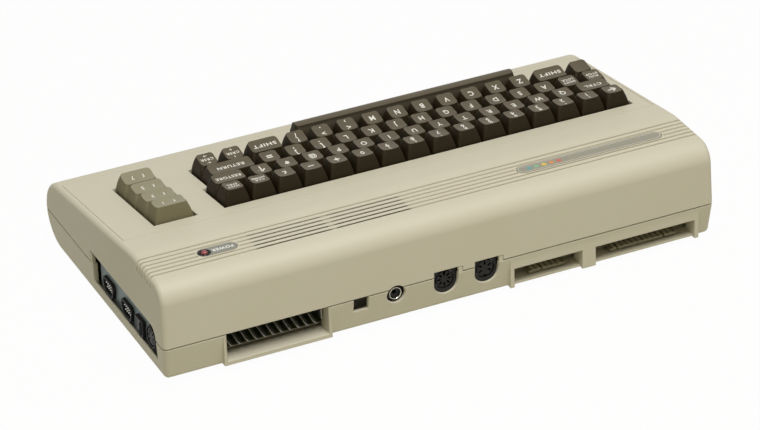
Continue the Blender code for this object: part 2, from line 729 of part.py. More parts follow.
def strip_pads(case):
    """Raised pill-shaped pads for the badge and the power label, with their recesses."""
    pads = bmesh.new()
    recesses = bmesh.new()
    badge_centre = -HALF_WIDTH + BADGE_LEFT_FROM_SIDE + BADGE_LENGTH / 2
    label_centre = HALF_WIDTH - LABEL_RIGHT_FROM_SIDE - LABEL_LENGTH / 2
    bed = STRIP_HEIGHT - CASE_WALL + FIT_GAP
    for centre, length in ((badge_centre, BADGE_LENGTH), (label_centre, LABEL_LENGTH)):
        place = (centre, STRIP_MIDDLE, 0)
        prism(pads, stadium(length + 2 * PAD_RIM, PAD_WIDTH, ARC_STEPS), bed, STRIP_HEIGHT, centre=place)
        outer = stadium(length + 2 * FIT_GAP, PLATE_WIDTH + 2 * FIT_GAP, ARC_STEPS)
        prism(recesses, outer, STRIP_HEIGHT - PLATE_RECESS, STRIP_HEIGHT + OVERRUN, centre=place)
    combine(case, cutter("strip_pads", pads), "UNION")
    combine(case, cutter("strip_recesses", recesses))
    return badge_centre, label_centre


def lamp_x(label_centre):
    """The lamp stands in the outer end of the label's recess."""
    return label_centre + LABEL_LENGTH / 2 - PLATE_WIDTH / 2


def vent_cutters(case):
    """Two groups of slots through the five rear grooves."""
    form = bmesh.new()
    right = HALF_WIDTH - VENT_RIGHT_FROM_SIDE
    for group in range(2):
        for index in range(GROOVE_COUNT - 1):
            y = HALF_DEPTH - LAST_GROOVE_FROM_REAR - index * GROOVE_PITCH
            low = (right - group * VENT_SPACING - VENT_LENGTH, y - VENT_WIDTH / 2, CASE_HEIGHT - 2 * CASE_WALL)
            high = (right - group * VENT_SPACING, y + VENT_WIDTH / 2, CASE_HEIGHT + OVERRUN)
            box(form, low, high)
    combine(case, cutter("vents", form))


def panel_line_cutter(case, anchor):
    """The fine line let into the top round the keyboard."""
    side = HALF_WIDTH - PANEL_LINE_SIDE
    middle = (PANEL_LINE_REAR - PANEL_LINE_FRONT) / 2
    half = (PANEL_LINE_REAR + PANEL_LINE_FRONT) / 2
    form = bmesh.new()
    rings = []
    for width, height in ((0, OVERRUN), (PANEL_LINE_WIDTH, OVERRUN),
                          (PANEL_LINE_WIDTH, -PANEL_LINE_DEPTH), (0, -PANEL_LINE_DEPTH)):
        corners = ((side - width, half - width), (width - side, half - width),
                   (width - side, width - half), (side - width, width - half))
        rings.append([(x, y + middle, height) for x, y in corners])
    loops = loft(form, rings, close_start=False, close_end=False)
    for index in range(4):
        after = (index + 1) % 4
        form.faces.new((loops[-1][index], loops[-1][after], loops[0][after], loops[0][index]))
    combine(case, cutter("panel_line", form, parent=anchor))


def din_hole(centre):
    """Outline of a round hole with a flat top, in the rear wall."""
    points = []
    for step in range(2 * ARC_STEPS + 1):
        turn = math.pi + math.pi * step / (2 * ARC_STEPS)
        points.append((centre + DIN_HOLE_RADIUS * math.cos(turn), DIN_HEIGHT + DIN_HOLE_RADIUS * math.sin(turn)))
    points.append((centre + DIN_HOLE_RADIUS, DIN_HOLE_TOP))
    points.append((centre - DIN_HOLE_RADIUS, DIN_HOLE_TOP))
    return points


def rear_hole_cutters(case, name, with_ears):
    """The holes for the round sockets, the jack and the channel selector."""
    form = bmesh.new()
    inside = HALF_DEPTH - BAY_DEPTH - REAR_BOTTOM_INSET
    outside = HALF_DEPTH + OVERRUN
    for centre in (VIDEO_CENTRE, SERIAL_CENTRE):
        prism(form, din_hole(centre), inside, outside, axis="y")
    prism(form, circle(JACK_HOLE_RADIUS, 2 * ARC_STEPS + 4), inside, outside, axis="y",
          centre=(JACK_CENTRE, 0, JACK_HEIGHT))
    if not with_ears:
        selector_top = PARTING_HEIGHT + OVERRUN
        box(form, (SELECTOR_LEFT, inside, SELECTOR_BOTTOM), (SELECTOR_RIGHT, outside, selector_top))
    combine(case, cutter(name, form))
    if with_ears:
        ears = bmesh.new()
        for centre in (VIDEO_CENTRE, SERIAL_CENTRE):
            edge = centre - DIN_HOLE_RADIUS
            low = (edge - EAR_WIDTH - FIT_GAP, inside, PARTING_HEIGHT - OVERRUN)
            box(ears, low, (edge + FIT_GAP, outside, DIN_HOLE_TOP))
        combine(case, cutter(name + "_ears", ears))


def side_opening_outline(front, bottom):
    """Outline of the opening in the right side, with its upper rear corner rounded."""
    corner = fillet(Vector((SIDE_OPENING_REAR, bottom)), Vector((SIDE_OPENING_REAR, SIDE_OPENING_TOP)),
                    Vector((front, SIDE_OPENING_TOP)), SIDE_OPENING_RADIUS, ARC_STEPS)
    points = [(p.x, p.y) for p in corner]
    return [(front, bottom), (SIDE_OPENING_REAR, bottom)] + points + [(front, SIDE_OPENING_TOP)]


def make_upper_case(anchor):
    """Upper case: top, front, sides and rear down to the parting line."""
    points = upper_outline()
    case = case_half("upper_case", points, CASE_HEIGHT)
    hollow_half(case, points, "upper_inside")
    groove_cutters(case)
    badge_centre, label_centre = strip_pads(case)
    vent_cutters(case)
    lamp_hole = bmesh.new()
    prism(lamp_hole, circle(BEZEL_TUBE_RADIUS + FIT_GAP, FOOT_SIDES), STRIP_HEIGHT - 2 * CASE_WALL,
          STRIP_HEIGHT + OVERRUN, centre=(lamp_x(label_centre), STRIP_MIDDLE, 0))
    combine(case, cutter("lamp_hole", lamp_hole))
    panel_line_cutter(case, anchor)
    for name, points in (("key_opening", opening_outline()), ("function_opening", function_outline())):
        form = bmesh.new()
        prism(form, points, -CASE_WALL - OVERRUN, OVERRUN)
        combine(case, cutter(name, form, parent=anchor))
    rear_hole_cutters(case, "upper_rear_holes", True)
    form = bmesh.new()
    front = SIDE_OPENING_FRONT - SIDE_TAB_WIDTH - FIT_GAP
    prism(form, side_opening_outline(front, PARTING_HEIGHT - OVERRUN), HALF_WIDTH - CASE_WALL - OVERRUN,
          HALF_WIDTH + OVERRUN, axis="x")
    combine(case, cutter("upper_side_opening", form))
    return badge_centre, label_centre


def bay_blocks(case):
    """Square-faced surrounds of the bays, which stand out from the leaning rear wall."""
    front = HALF_DEPTH - BAY_DEPTH
    face = HALF_DEPTH - BAY_FACE_INSET
    top = PARTING_HEIGHT - SEAM_GAP / 2
    form = bmesh.new()
    box(form, (USER_BAY_LEFT - BAY_RIM, front, BAY_BOTTOM), (TAPE_BAY_RIGHT + BAY_RIM, face, BAY_TOP + BAY_ROOF))
    box(form, (CARTRIDGE_LEFT - CARTRIDGE_RIM, front, BAY_BOTTOM), (CARTRIDGE_RIGHT + CARTRIDGE_RIM, face, top))
    combine(case, cutter("bay_blocks", form), "UNION")
    fascia = bmesh.new()
    low = (USER_BAY_LEFT - BAY_RIM, HALF_DEPTH - CASE_WALL, BAY_TOP)
    box(fascia, low, (TAPE_BAY_RIGHT + BAY_RIM, face, top))
    combine(case, cutter("bay_fascia", fascia), "UNION")


def bay_cutters(case):
    """The bays themselves, right through the wall and its surrounds."""
    inside = HALF_DEPTH - BAY_DEPTH - OVERRUN
    outside = HALF_DEPTH + OVERRUN
    form = bmesh.new()
    box(form, (TAPE_BAY_LEFT, inside, BAY_FLOOR_TOP), (TAPE_BAY_RIGHT, outside, BAY_TOP))
    box(form, (USER_BAY_LEFT, inside, BAY_FLOOR_TOP), (USER_BAY_RIGHT, outside, BAY_TOP))
    top = PARTING_HEIGHT + OVERRUN
    box(form, (CARTRIDGE_LEFT, inside, CARTRIDGE_FLOOR_TOP), (CARTRIDGE_RIGHT, outside, top))
    combine(case, cutter("bays", form))
    sills = bmesh.new()
    for left, right in ((TAPE_BAY_LEFT, TAPE_BAY_RIGHT), (USER_BAY_LEFT, USER_BAY_RIGHT)):
        box(sills, (left, HALF_DEPTH - BAY_FLOOR_INSET, FOOT_HEIGHT - OVERRUN), (right, outside, BAY_TOP - BAY_ROOF))
    combine(case, cutter("bay_sills", sills))


def standoff_places():
    """Where the lower case holds the main board."""
    half = HALF_WIDTH - CASE_WALL - BOARD_SIDE_INSET
    rear = HALF_DEPTH - BOARD_REAR_FROM_REAR
    front = HALF_DEPTH - BOARD_FRONT_FROM_REAR
    inward = 2 * STANDOFF_RADIUS
    across = (-half + inward, 0, half - inward)
    return [(x, y) for x in across for y in (front + inward, rear - inward)]


def make_lower_case():
    """Lower case: floor, lower walls, bays, standoffs and feet."""
    points = lower_outline()
    case = case_half("lower_case", points, FOOT_HEIGHT)
    hollow_half(case, points, "lower_inside")
    bay_blocks(case)
    bay_cutters(case)
    rear_hole_cutters(case, "lower_rear_holes", False)
    form = bmesh.new()
    low = (HALF_WIDTH - CASE_WALL - OVERRUN, SIDE_OPENING_FRONT, SIDE_OPENING_BOTTOM)
    box(form, low, (HALF_WIDTH + OVERRUN, SIDE_OPENING_REAR, PARTING_HEIGHT + OVERRUN))
    combine(case, cutter("lower_side_opening", form))
    tabs = bmesh.new()
    side = HALF_WIDTH - SIDE_DRAFT
    low = (side - CASE_WALL + FIT_GAP, SIDE_OPENING_FRONT - SIDE_TAB_WIDTH, PARTING_HEIGHT - SEAM_GAP - FIT_GAP)
    box(tabs, low, (side, SIDE_OPENING_FRONT - FIT_GAP, PARTING_HEIGHT + SIDE_TAB_HEIGHT))
    for centre in (VIDEO_CENTRE, SERIAL_CENTRE):
        edge = centre - DIN_HOLE_RADIUS
        low = (edge - EAR_WIDTH, HALF_DEPTH - CASE_WALL + FIT_GAP, PARTING_HEIGHT - SEAM_GAP - FIT_GAP)
        high = (edge - FIT_GAP, HALF_DEPTH - 2 * BAY_FACE_INSET, DIN_HOLE_TOP - FIT_GAP)
        box(tabs, low, high)
    combine(case, cutter("case_tabs", tabs), "UNION")
    posts = bmesh.new()
    for x, y in standoff_places():
        top = BOARD_HEIGHT - FIT_GAP
        prism(posts, circle(STANDOFF_RADIUS, 8), CASE_FLOOR - CASE_WALL / 2, top, centre=(x, y, 0))
    combine(case, cutter("standoffs", posts), "UNION")
    feet = bmesh.new()
    profile = ((FOOT_RADIUS - FOOT_EDGE, 0), (FOOT_RADIUS, FOOT_EDGE), (FOOT_RADIUS, FOOT_HEIGHT + CASE_WALL / 2))
    for side in (-1, 1):
        for y in (HALF_DEPTH - FOOT_REAR_INSET, -HALF_DEPTH + FOOT_FRONT_INSET):
            centre = (side * (HALF_WIDTH - FOOT_SIDE_INSET), y, 0)
            loft(feet, tube_rings(profile, FOOT_SIDES, centre=centre))
    combine(case, cutter("feet", feet), "UNION")


def make_strip_parts(badge_centre, label_centre):
    """The badge plate, the lamp and its bezel."""
    bed = STRIP_HEIGHT - PLATE_RECESS + FIT_GAP
    form = bmesh.new()
    place = (badge_centre, STRIP_MIDDLE, 0)
    prism(form, stadium(BADGE_LENGTH, PLATE_WIDTH, ARC_STEPS), bed, bed + PLATE_THICKNESS, centre=place)
    add_object("badge_plate", to_mesh(form, "badge_plate"), SILVER)

    centre = (lamp_x(label_centre), STRIP_MIDDLE, bed)
    top = BEZEL_FLANGE_HEIGHT
    bore = BEZEL_TUBE_RADIUS - BEZEL_WALL
    profile = (
        (bore, -BEZEL_TUBE_LENGTH), (BEZEL_TUBE_RADIUS, -BEZEL_TUBE_LENGTH), (BEZEL_TUBE_RADIUS, 0),
        (BEZEL_FLANGE_RADIUS, 0), (BEZEL_FLANGE_RADIUS, top / 2), (BEZEL_TUBE_RADIUS, top), (bore, top),
    )
    form = bmesh.new()
    loops = loft(form, tube_rings(profile, FOOT_SIDES, centre=centre), close_start=False, close_end=False)
    for index in range(FOOT_SIDES):
        after = (index + 1) % FOOT_SIDES
        form.faces.new((loops[-1][index], loops[-1][after], loops[0][after], loops[0][index]))
    add_object("led_bezel", to_mesh(form, "led_bezel"), BLACK, smooth=True)

    profile = [(LAMP_RADIUS, -LAMP_TAIL), (LAMP_RADIUS, 0)]
    for step in range(1, EDGE_STEPS + 1):
        turn = math.pi / 2 * step / (EDGE_STEPS + 1)
        profile.append((LAMP_RADIUS * math.cos(turn), LAMP_HEIGHT * math.sin(turn)))
    form = bmesh.new()
    loft(form, tube_rings(profile, FOOT_SIDES, centre=centre))
    add_object("power_led", to_mesh(form, "power_led"), RED, smooth=True)


def card_edge(form, slots, centre, contacts, key_slots):
    """A tongue of the main board with bare contacts, and the slots that key its plug."""
    half = contacts * CONTACT_PITCH / 2 + CARD_MARGIN
    rear = HALF_DEPTH - BOARD_REAR_FROM_REAR
    end = HALF_DEPTH - CARD_EDGE_FROM_REAR
    box(form, (centre - half, rear - OVERRUN, BOARD_HEIGHT), (centre + half, end, BOARD_TOP))
    for contact in key_slots:
        x = centre + half - CARD_MARGIN - contact * CONTACT_PITCH
        low = (x - CARD_SLOT_WIDTH / 2, end - CARD_SLOT_DEPTH, BOARD_HEIGHT - OVERRUN)
        box(slots, low, (x + CARD_SLOT_WIDTH / 2, end + OVERRUN, BOARD_TOP + OVERRUN))


def make_main_board():
    """The main circuit board with its two card edges."""
    half = HALF_WIDTH - CASE_WALL - BOARD_SIDE_INSET
    rear = HALF_DEPTH - BOARD_REAR_FROM_REAR
    form = bmesh.new()
    box(form, (-half, HALF_DEPTH - BOARD_FRONT_FROM_REAR, BOARD_HEIGHT), (half, rear, BOARD_TOP))
    board = add_object("main_board", to_mesh(form, "main_board"), GREEN)
    tongues = bmesh.new()
    slots = bmesh.new()
    card_edge(tongues, slots, TAPE_CENTRE, TAPE_CONTACTS, TAPE_SLOTS)
    card_edge(tongues, slots, USER_CENTRE, USER_CONTACTS, USER_SLOTS)
    combine(board, cutter("card_edges", tongues), "UNION")
    combine(board, cutter("card_slots", slots))


def make_cartridge_parts():
    """The cartridge socket deep in its bay, and the sprung earthing shield above it."""
    centre = (CARTRIDGE_LEFT + CARTRIDGE_RIGHT) / 2
    seat = BOARD_TOP + FIT_GAP
    y = HALF_DEPTH - SOCKET_FROM_REAR
    half = SOCKET_LENGTH / 2
    form = bmesh.new()
    box(form, (centre - half, y - SOCKET_WIDTH, seat), (centre + half, y, seat + SOCKET_HEIGHT))
    socket = add_object("cartridge_connector", to_mesh(form, "cartridge_connector"), BLACK)
    slot = bmesh.new()
    middle = seat + SOCKET_HEIGHT / 2
    low = (centre - SOCKET_SLOT_LENGTH / 2, y - SOCKET_SLOT_DEPTH, middle - SOCKET_SLOT_WIDTH / 2)
    box(slot, low, (centre + SOCKET_SLOT_LENGTH / 2, y + OVERRUN, middle + SOCKET_SLOT_WIDTH / 2))
    combine(socket, cutter("cartridge_slot", slot))

    front = HALF_DEPTH - SHIELD_FRONT_FROM_REAR
    rear = HALF_DEPTH - SHIELD_REAR_FROM_REAR
    left = centre - (FINGER_COUNT - 1) * FINGER_PITCH / 2 - FINGER_WIDTH / 2
    right = 2 * centre - left
    top = SHIELD_HEIGHT + SHIELD_SHEET
    fin = CARTRIDGE_LEFT + CARTRIDGE_RIM
    form = bmesh.new()
    box(form, (fin - SHIELD_SHEET, front, SHIELD_HEIGHT), (right, rear, top))
    shield = add_object("cartridge_shield", to_mesh(form, "cartridge_shield"), TIN)
    joined = bmesh.new()
    for index in range(FINGER_COUNT):
        x = left + index * FINGER_PITCH
        low, high = SHIELD_HEIGHT, top
        drop = FINGER_FALL
        bite = SHIELD_SHEET
        rings = []
        for reach, fall in ((rear - bite, 0), (rear, 0), (rear + FINGER_LENGTH, drop)):
            rings.append([(x, reach, low - fall), (x + FINGER_WIDTH, reach, low - fall),
                          (x + FINGER_WIDTH, reach, high - fall), (x, reach, high - fall)])
        loft(joined, rings)
    combine(shield, cutter("shield_fingers", joined), "UNION")
    legs = bmesh.new()
    box(legs, (fin - SHIELD_SHEET, front, seat), (fin, front + SHIELD_LEG_WIDTH, top))
    box(legs, (right - SHIELD_SHEET, front, seat), (right, front + SHIELD_LEG_WIDTH, top))
    combine(shield, cutter("shield_legs", legs), "UNION")
    side = bmesh.new()
    low = (fin - SHIELD_SHEET, rear - SHIELD_LEG_WIDTH, SHIELD_HEIGHT)
    box(side, low, (fin, rear + SIDE_FIN_LENGTH, SHIELD_HEIGHT + SIDE_FIN_HEIGHT))
    combine(shield, cutter("shield_fin", side), "UNION")


def round_socket(name, centre, pin_angles):
    """A round multi-pin socket on the main board, facing the rear."""
    face = HALF_DEPTH - REAR_BOTTOM_INSET / 2 - DIN_FACE_INSET
    half = DIN_BODY_WIDTH / 2
    form = bmesh.new()
    low = (centre - half, face - DIN_BODY_DEPTH, BOARD_TOP + FIT_GAP)
    box(form, low, (centre + half, face, DIN_HEIGHT + DIN_BODY_ABOVE))
    socket = add_object(name, to_mesh(form, name), BLACK)
    ring = bmesh.new()
    sides = 2 * ARC_STEPS + 4
    inner = DIN_RING_RADIUS - DIN_RING_WIDTH
    profile = ((inner, face - DIN_RING_DEPTH), (DIN_RING_RADIUS, face - DIN_RING_DEPTH),
               (DIN_RING_RADIUS, face + OVERRUN), (inner, face + OVERRUN))
    rings = tube_rings(profile, sides, "y", (centre, 0, DIN_HEIGHT))
    loops = loft(ring, rings, close_start=False, close_end=False)
    for index in range(sides):
        after = (index + 1) % sides
        ring.faces.new((loops[-1][index], loops[-1][after], loops[0][after], loops[0][index]))
    combine(socket, cutter(name + "_ring", ring))
    pins = bmesh.new()
    for angle in pin_angles:
        turn = math.radians(angle - 90)
        across = centre + DIN_PIN_RING_RADIUS * math.sin(turn)
        height = DIN_HEIGHT + DIN_PIN_RING_RADIUS * math.cos(turn)
        prism(pins, circle(DIN_PIN_HOLE_RADIUS, 6), face - DIN_PIN_HOLE_DEPTH, face + OVERRUN, axis="y",
              centre=(across, 0, height))
    combine(socket, cutter(name + "_pins", pins))


def make_modulator():
    """The screened aerial modulator with its jack, and the channel selector that slides in it."""
    rear = HALF_DEPTH - MODULATOR_FROM_REAR
    seat = BOARD_TOP + FIT_GAP
    form = bmesh.new()
    box(form, (MODULATOR_LEFT, rear - MODULATOR_DEPTH, seat), (MODULATOR_RIGHT, rear, seat + MODULATOR_HEIGHT))
    can = add_object("rf_modulator", to_mesh(form, "rf_modulator"), TIN)
    nose = bmesh.new()
    sides = 2 * ARC_STEPS + 4
    profile = ((JACK_RADIUS, rear - SHIELD_SHEET), (JACK_RADIUS, rear + JACK_NOSE))
    loft(nose, tube_rings(profile, sides, "y", (JACK_CENTRE, 0, JACK_HEIGHT)))
    combine(can, cutter("jack_nose", nose), "UNION")
    bore = bmesh.new()
    end = rear + JACK_NOSE
    prism(bore, circle(JACK_BORE_RADIUS, 2 * ARC_STEPS), end - JACK_BORE_DEPTH, end + OVERRUN, axis="y",
          centre=(JACK_CENTRE, 0, JACK_HEIGHT))
    combine(can, cutter("jack_bore", bore))
    middle_x = (SELECTOR_LEFT + SELECTOR_RIGHT) / 2
    middle_z = (SELECTOR_BOTTOM + PARTING_HEIGHT) / 2
    slot = bmesh.new()
    half = SELECTOR_SLOT_LENGTH / 2
    low = (middle_x - half, rear - SELECTOR_SLOT_DEPTH, middle_z - SELECTOR_SLOT_HEIGHT / 2)
    box(slot, low, (middle_x + half, rear + OVERRUN, middle_z + SELECTOR_SLOT_HEIGHT / 2))
    combine(can, cutter("selector_slot", slot))
    form = bmesh.new()
    inner = SELECTOR_SLOT_HEIGHT / 2 - FIT_GAP
    length = SELECTOR_KNOB_LENGTH / 2
    back = -SELECTOR_SLOT_DEPTH + FIT_GAP
    box(form, (-length, back, -inner), (length, SELECTOR_KNOB_REACH, inner))
    add_object("channel_slider", to_mesh(form, "channel_slider"), BLACK,
               place=(middle_x + SELECTOR_TRAVEL / 2, rear, middle_z))


def port_outline(shrink):
    """The D-shaped outline of a nine-pin port, wide side up, as points along Y and Z."""
    half = PORT_WIDTH / 2 - shrink
    tall = PORT_DEPTH_OF_D / 2 - shrink
    narrow = half - PORT_NARROWING
    corners = [Vector((half, tall)), Vector((-half, tall)), Vector((-narrow, -tall)), Vector((narrow, -tall))]
    points = []
    for index, corner in enumerate(corners):
        before, after = corners[index - 1], corners[(index + 1) % 4]
        points += fillet(before, corner, after, PORT_CORNER - shrink, EDGE_STEPS)
    return [(p.x, p.y) for p in points]


def make_port(name, centre):
    """A nine-pin port: its block behind the plate, its D-shaped nose and its pins."""
    middle = (0, centre, PORT_HEIGHT)
    form = bmesh.new()
    half = PORT_WIDTH / 2 + PORT_BODY_MARGIN
    back = PORT_PLANE - SIDE_PLATE_SHEET - FIT_GAP
    top = PORT_HEIGHT + PORT_DEPTH_OF_D / 2 + PORT_BODY_MARGIN
    box(form, (back - PORT_BODY_DEPTH, centre - half, BOARD_TOP + FIT_GAP), (back, centre + half, top))
    port = add_object(name, to_mesh(form, name), BLACK)
    nose = bmesh.new()
    prism(nose, port_outline(0), back - PORT_BODY_MARGIN, PORT_PLANE + PORT_NOSE, axis="x", centre=middle)
    combine(port, cutter(name + "_nose", nose), "UNION")
    recess = bmesh.new()
    floor = PORT_PLANE + PORT_NOSE - PORT_RECESS
    prism(recess, port_outline(PORT_WALL), floor, PORT_PLANE + OVERRUN, axis="x", centre=middle)
    combine(port, cutter(name + "_recess", recess))
    pins = bmesh.new()
    for count, rise in ((5, PIN_ROW_SPACING / 2), (4, -PIN_ROW_SPACING / 2)):
        for index in range(count):
            y = centre + (index - (count - 1) / 2) * PIN_PITCH
            prism(pins, circle(PIN_RADIUS, 5), floor - PIN_RADIUS, floor + PIN_LENGTH, axis="x",
                  centre=(0, y, PORT_HEIGHT + rise))
    combine(port, cutter(name + "_contacts", pins), "UNION")


def make_power_switch():
    """The rocker switch: its body with a framed pocket, and the rocker on its pivot."""
    back = PORT_PLANE - SIDE_PLATE_SHEET - FIT_GAP
    face = PORT_PLANE + SWITCH_NOSE
    half_y, half_z = SWITCH_WIDTH / 2, SWITCH_TALL / 2
    form = bmesh.new()
    low = (back - SWITCH_BODY_DEPTH, SWITCH_CENTRE - half_y, BOARD_TOP + FIT_GAP)
    box(form, low, (back, SWITCH_CENTRE + half_y, SWITCH_HEIGHT + half_z))
    body = add_object("power_switch", to_mesh(form, "power_switch"), BLACK)
    nose = bmesh.new()
    low = (back - PORT_BODY_MARGIN, SWITCH_CENTRE - half_y, SWITCH_HEIGHT - half_z)
    box(nose, low, (face, SWITCH_CENTRE + half_y, SWITCH_HEIGHT + half_z))
    combine(body, cutter("switch_nose", nose), "UNION")
    pocket = bmesh.new()
    inner_y, inner_z = half_y - SWITCH_FRAME, half_z - SWITCH_FRAME
    low = (face - ROCKER_POCKET_DEPTH, SWITCH_CENTRE - inner_y, SWITCH_HEIGHT - inner_z)
    box(pocket, low, (face + OVERRUN, SWITCH_CENTRE + inner_y, SWITCH_HEIGHT + inner_z))
    combine(body, cutter("rocker_pocket", pocket))

    swing = math.radians(ROCKER_SWING)
    reach_z = inner_z - FIT_GAP
    reach_y = inner_y - 2 * FIT_GAP - ROCKER_PIVOT_DEPTH * math.sin(swing)
    crest = ROCKER_PROUD
    points = [
        (-ROCKER_DEPTH, 0), (-ROCKER_DEPTH / 2, -reach_y * math.cos(swing)), (crest, -reach_y),
        (crest - ROCKER_VALLEY, 0), (crest, reach_y), (-ROCKER_DEPTH / 2, reach_y * math.cos(swing)),
    ]
    form = bmesh.new()
    prism(form, [(x + ROCKER_PIVOT_DEPTH, y) for x, y in points], -reach_z, reach_z)
    rocker = add_object("power_rocker", to_mesh(form, "power_rocker"), BLACK,
                        place=(face - ROCKER_PIVOT_DEPTH, SWITCH_CENTRE, SWITCH_HEIGHT))
    rocker.rotation_euler = (0, 0, -swing)


def make_power_socket():
    """The round power inlet in the side plate."""
    back = PORT_PLANE - SIDE_PLATE_SHEET - FIT_GAP
    face = PORT_PLANE + POWER_NOSE
    half = POWER_RADIUS + PORT_BODY_MARGIN
    form = bmesh.new()
    low = (back - POWER_BODY_DEPTH, POWER_CENTRE - half, BOARD_TOP + FIT_GAP)
    box(form, low, (back, POWER_CENTRE + half, POWER_HEIGHT + half))
    socket = add_object("power_socket", to_mesh(form, "power_socket"), BLACK)
    sides = 2 * ARC_STEPS + 4
    middle = (0, POWER_CENTRE, POWER_HEIGHT)
    nose = bmesh.new()
    prism(nose, circle(POWER_RADIUS, sides), back - PORT_BODY_MARGIN, face, axis="x", centre=middle)
    combine(socket, cutter("power_nose", nose), "UNION")
    ring = bmesh.new()
    inner = POWER_RING_RADIUS - POWER_RING_WIDTH
    floor = face - DIN_RING_DEPTH
    profile = ((inner, floor), (POWER_RING_RADIUS, floor), (POWER_RING_RADIUS, face + OVERRUN), (inner, face + OVERRUN))
    loops = loft(ring, tube_rings(profile, sides, "x", middle), close_start=False, close_end=False)
    for index in range(sides):
        after = (index + 1) % sides
        ring.faces.new((loops[-1][index], loops[-1][after], loops[0][after], loops[0][index]))
    combine(socket, cutter("power_ring", ring))
    pins = bmesh.new()
    for angle in POWER_PIN_ANGLES:
        turn = math.radians(angle - 90)
        y = POWER_CENTRE + DIN_PIN_RING_RADIUS * math.sin(turn)
        z = POWER_HEIGHT + DIN_PIN_RING_RADIUS * math.cos(turn)
        prism(pins, circle(DIN_PIN_HOLE_RADIUS, 6), face - DIN_PIN_HOLE_DEPTH, face + OVERRUN, axis="x",
              centre=(0, y, z))
    combine(socket, cutter("power_pins", pins))


def make_side_plate():
    """The metal plate behind the side opening, cut out for each connector."""
    back = PORT_PLANE - SIDE_PLATE_SHEET
    form = bmesh.new()
    low = (back, SIDE_PLATE_FRONT, CASE_FLOOR + FIT_GAP)
    box(form, low, (PORT_PLANE, SIDE_PLATE_REAR, SIDE_PLATE_TOP))
    plate = add_object("side_plate", to_mesh(form, "side_plate"), PLATE)
    holes = bmesh.new()
    inside, outside = back - OVERRUN, PORT_PLANE + OVERRUN
    for centre in (PORT_ONE_CENTRE, PORT_TWO_CENTRE):
        prism(holes, port_outline(-FIT_GAP), inside, outside, axis="x", centre=(0, centre, PORT_HEIGHT))
    half_y, half_z = SWITCH_WIDTH / 2 + FIT_GAP, SWITCH_TALL / 2 + FIT_GAP
    low = (inside, SWITCH_CENTRE - half_y, SWITCH_HEIGHT - half_z)
    box(holes, low, (outside, SWITCH_CENTRE + half_y, SWITCH_HEIGHT + half_z))
    prism(holes, circle(POWER_RADIUS + FIT_GAP, 2 * ARC_STEPS + 4), inside, outside, axis="x",
          centre=(0, POWER_CENTRE, POWER_HEIGHT))
    combine(plate, cutter("plate_holes", holes))


def main():
    """Build every piece in its place."""
    clear_scene()
    anchor = keyboard_place()
    make_keyboard(anchor)
    badge_centre, label_centre = make_upper_case(anchor)
    make_lower_case()
    make_strip_parts(badge_centre, label_centre)
    make_main_board()
    make_cartridge_parts()
    round_socket("video_socket", VIDEO_CENTRE, VIDEO_PIN_ANGLES)
    round_socket("serial_socket", SERIAL_CENTRE, SERIAL_PIN_ANGLES)
    make_modulator()
    make_side_plate()
    make_port("joystick_port_1", PORT_ONE_CENTRE)
    make_port("joystick_port_2", PORT_TWO_CENTRE)
    make_power_switch()
    make_power_socket()


main()
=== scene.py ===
"""Looks of a home computer of the early 1980s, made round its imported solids.

Metres, with X to the user's right, Y to the rear and Z up. The case halves, keycaps, sockets
and trims get their fine shape here, and each rides on the body that it belongs to.
"""

import math

import bmesh
import bpy
from mathutils import Matrix, Vector


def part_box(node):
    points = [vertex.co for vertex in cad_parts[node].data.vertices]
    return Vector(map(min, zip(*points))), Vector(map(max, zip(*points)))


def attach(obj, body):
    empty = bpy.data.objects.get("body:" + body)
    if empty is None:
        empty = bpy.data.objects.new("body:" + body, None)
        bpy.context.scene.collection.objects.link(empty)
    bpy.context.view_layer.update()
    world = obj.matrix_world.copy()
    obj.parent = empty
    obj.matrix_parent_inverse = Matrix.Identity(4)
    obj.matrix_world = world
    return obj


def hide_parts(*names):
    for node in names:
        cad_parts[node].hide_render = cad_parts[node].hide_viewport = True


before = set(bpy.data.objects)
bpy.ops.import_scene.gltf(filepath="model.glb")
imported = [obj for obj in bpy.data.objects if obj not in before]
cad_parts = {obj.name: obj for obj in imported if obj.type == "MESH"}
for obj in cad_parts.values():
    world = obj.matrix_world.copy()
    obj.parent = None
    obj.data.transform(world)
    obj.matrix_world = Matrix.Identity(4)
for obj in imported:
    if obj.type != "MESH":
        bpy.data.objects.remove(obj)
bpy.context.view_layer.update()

MM = 0.001
TAU = 2 * math.pi

# Camera, fitted to the edges of the case and to the key grid
CAMERA_PLACE = (0.86717, 1.94588, 1.22716)
CAMERA_AZIMUTH = 155.9466
CAMERA_ELEVATION = 29.5146
CAMERA_ROLL = -2.24
CAMERA_LENS = 169.23
CAMERA_SENSOR = 36

# Light: strengths at which a colour on a level face renders as it is written
SKY_STRENGTH = 0.26
SKY_COLOUR = "#FFFCEE"
KEY_POWER = 45.5
KEY_SIZE = 1.3
KEY_PLACE = (0.08, 0.92, 2.33)
FLOOR_RADIUS = 20
FLOOR_GLOW_SHARE = 0.975
FLOOR_COLOUR = "#C7C4AD"

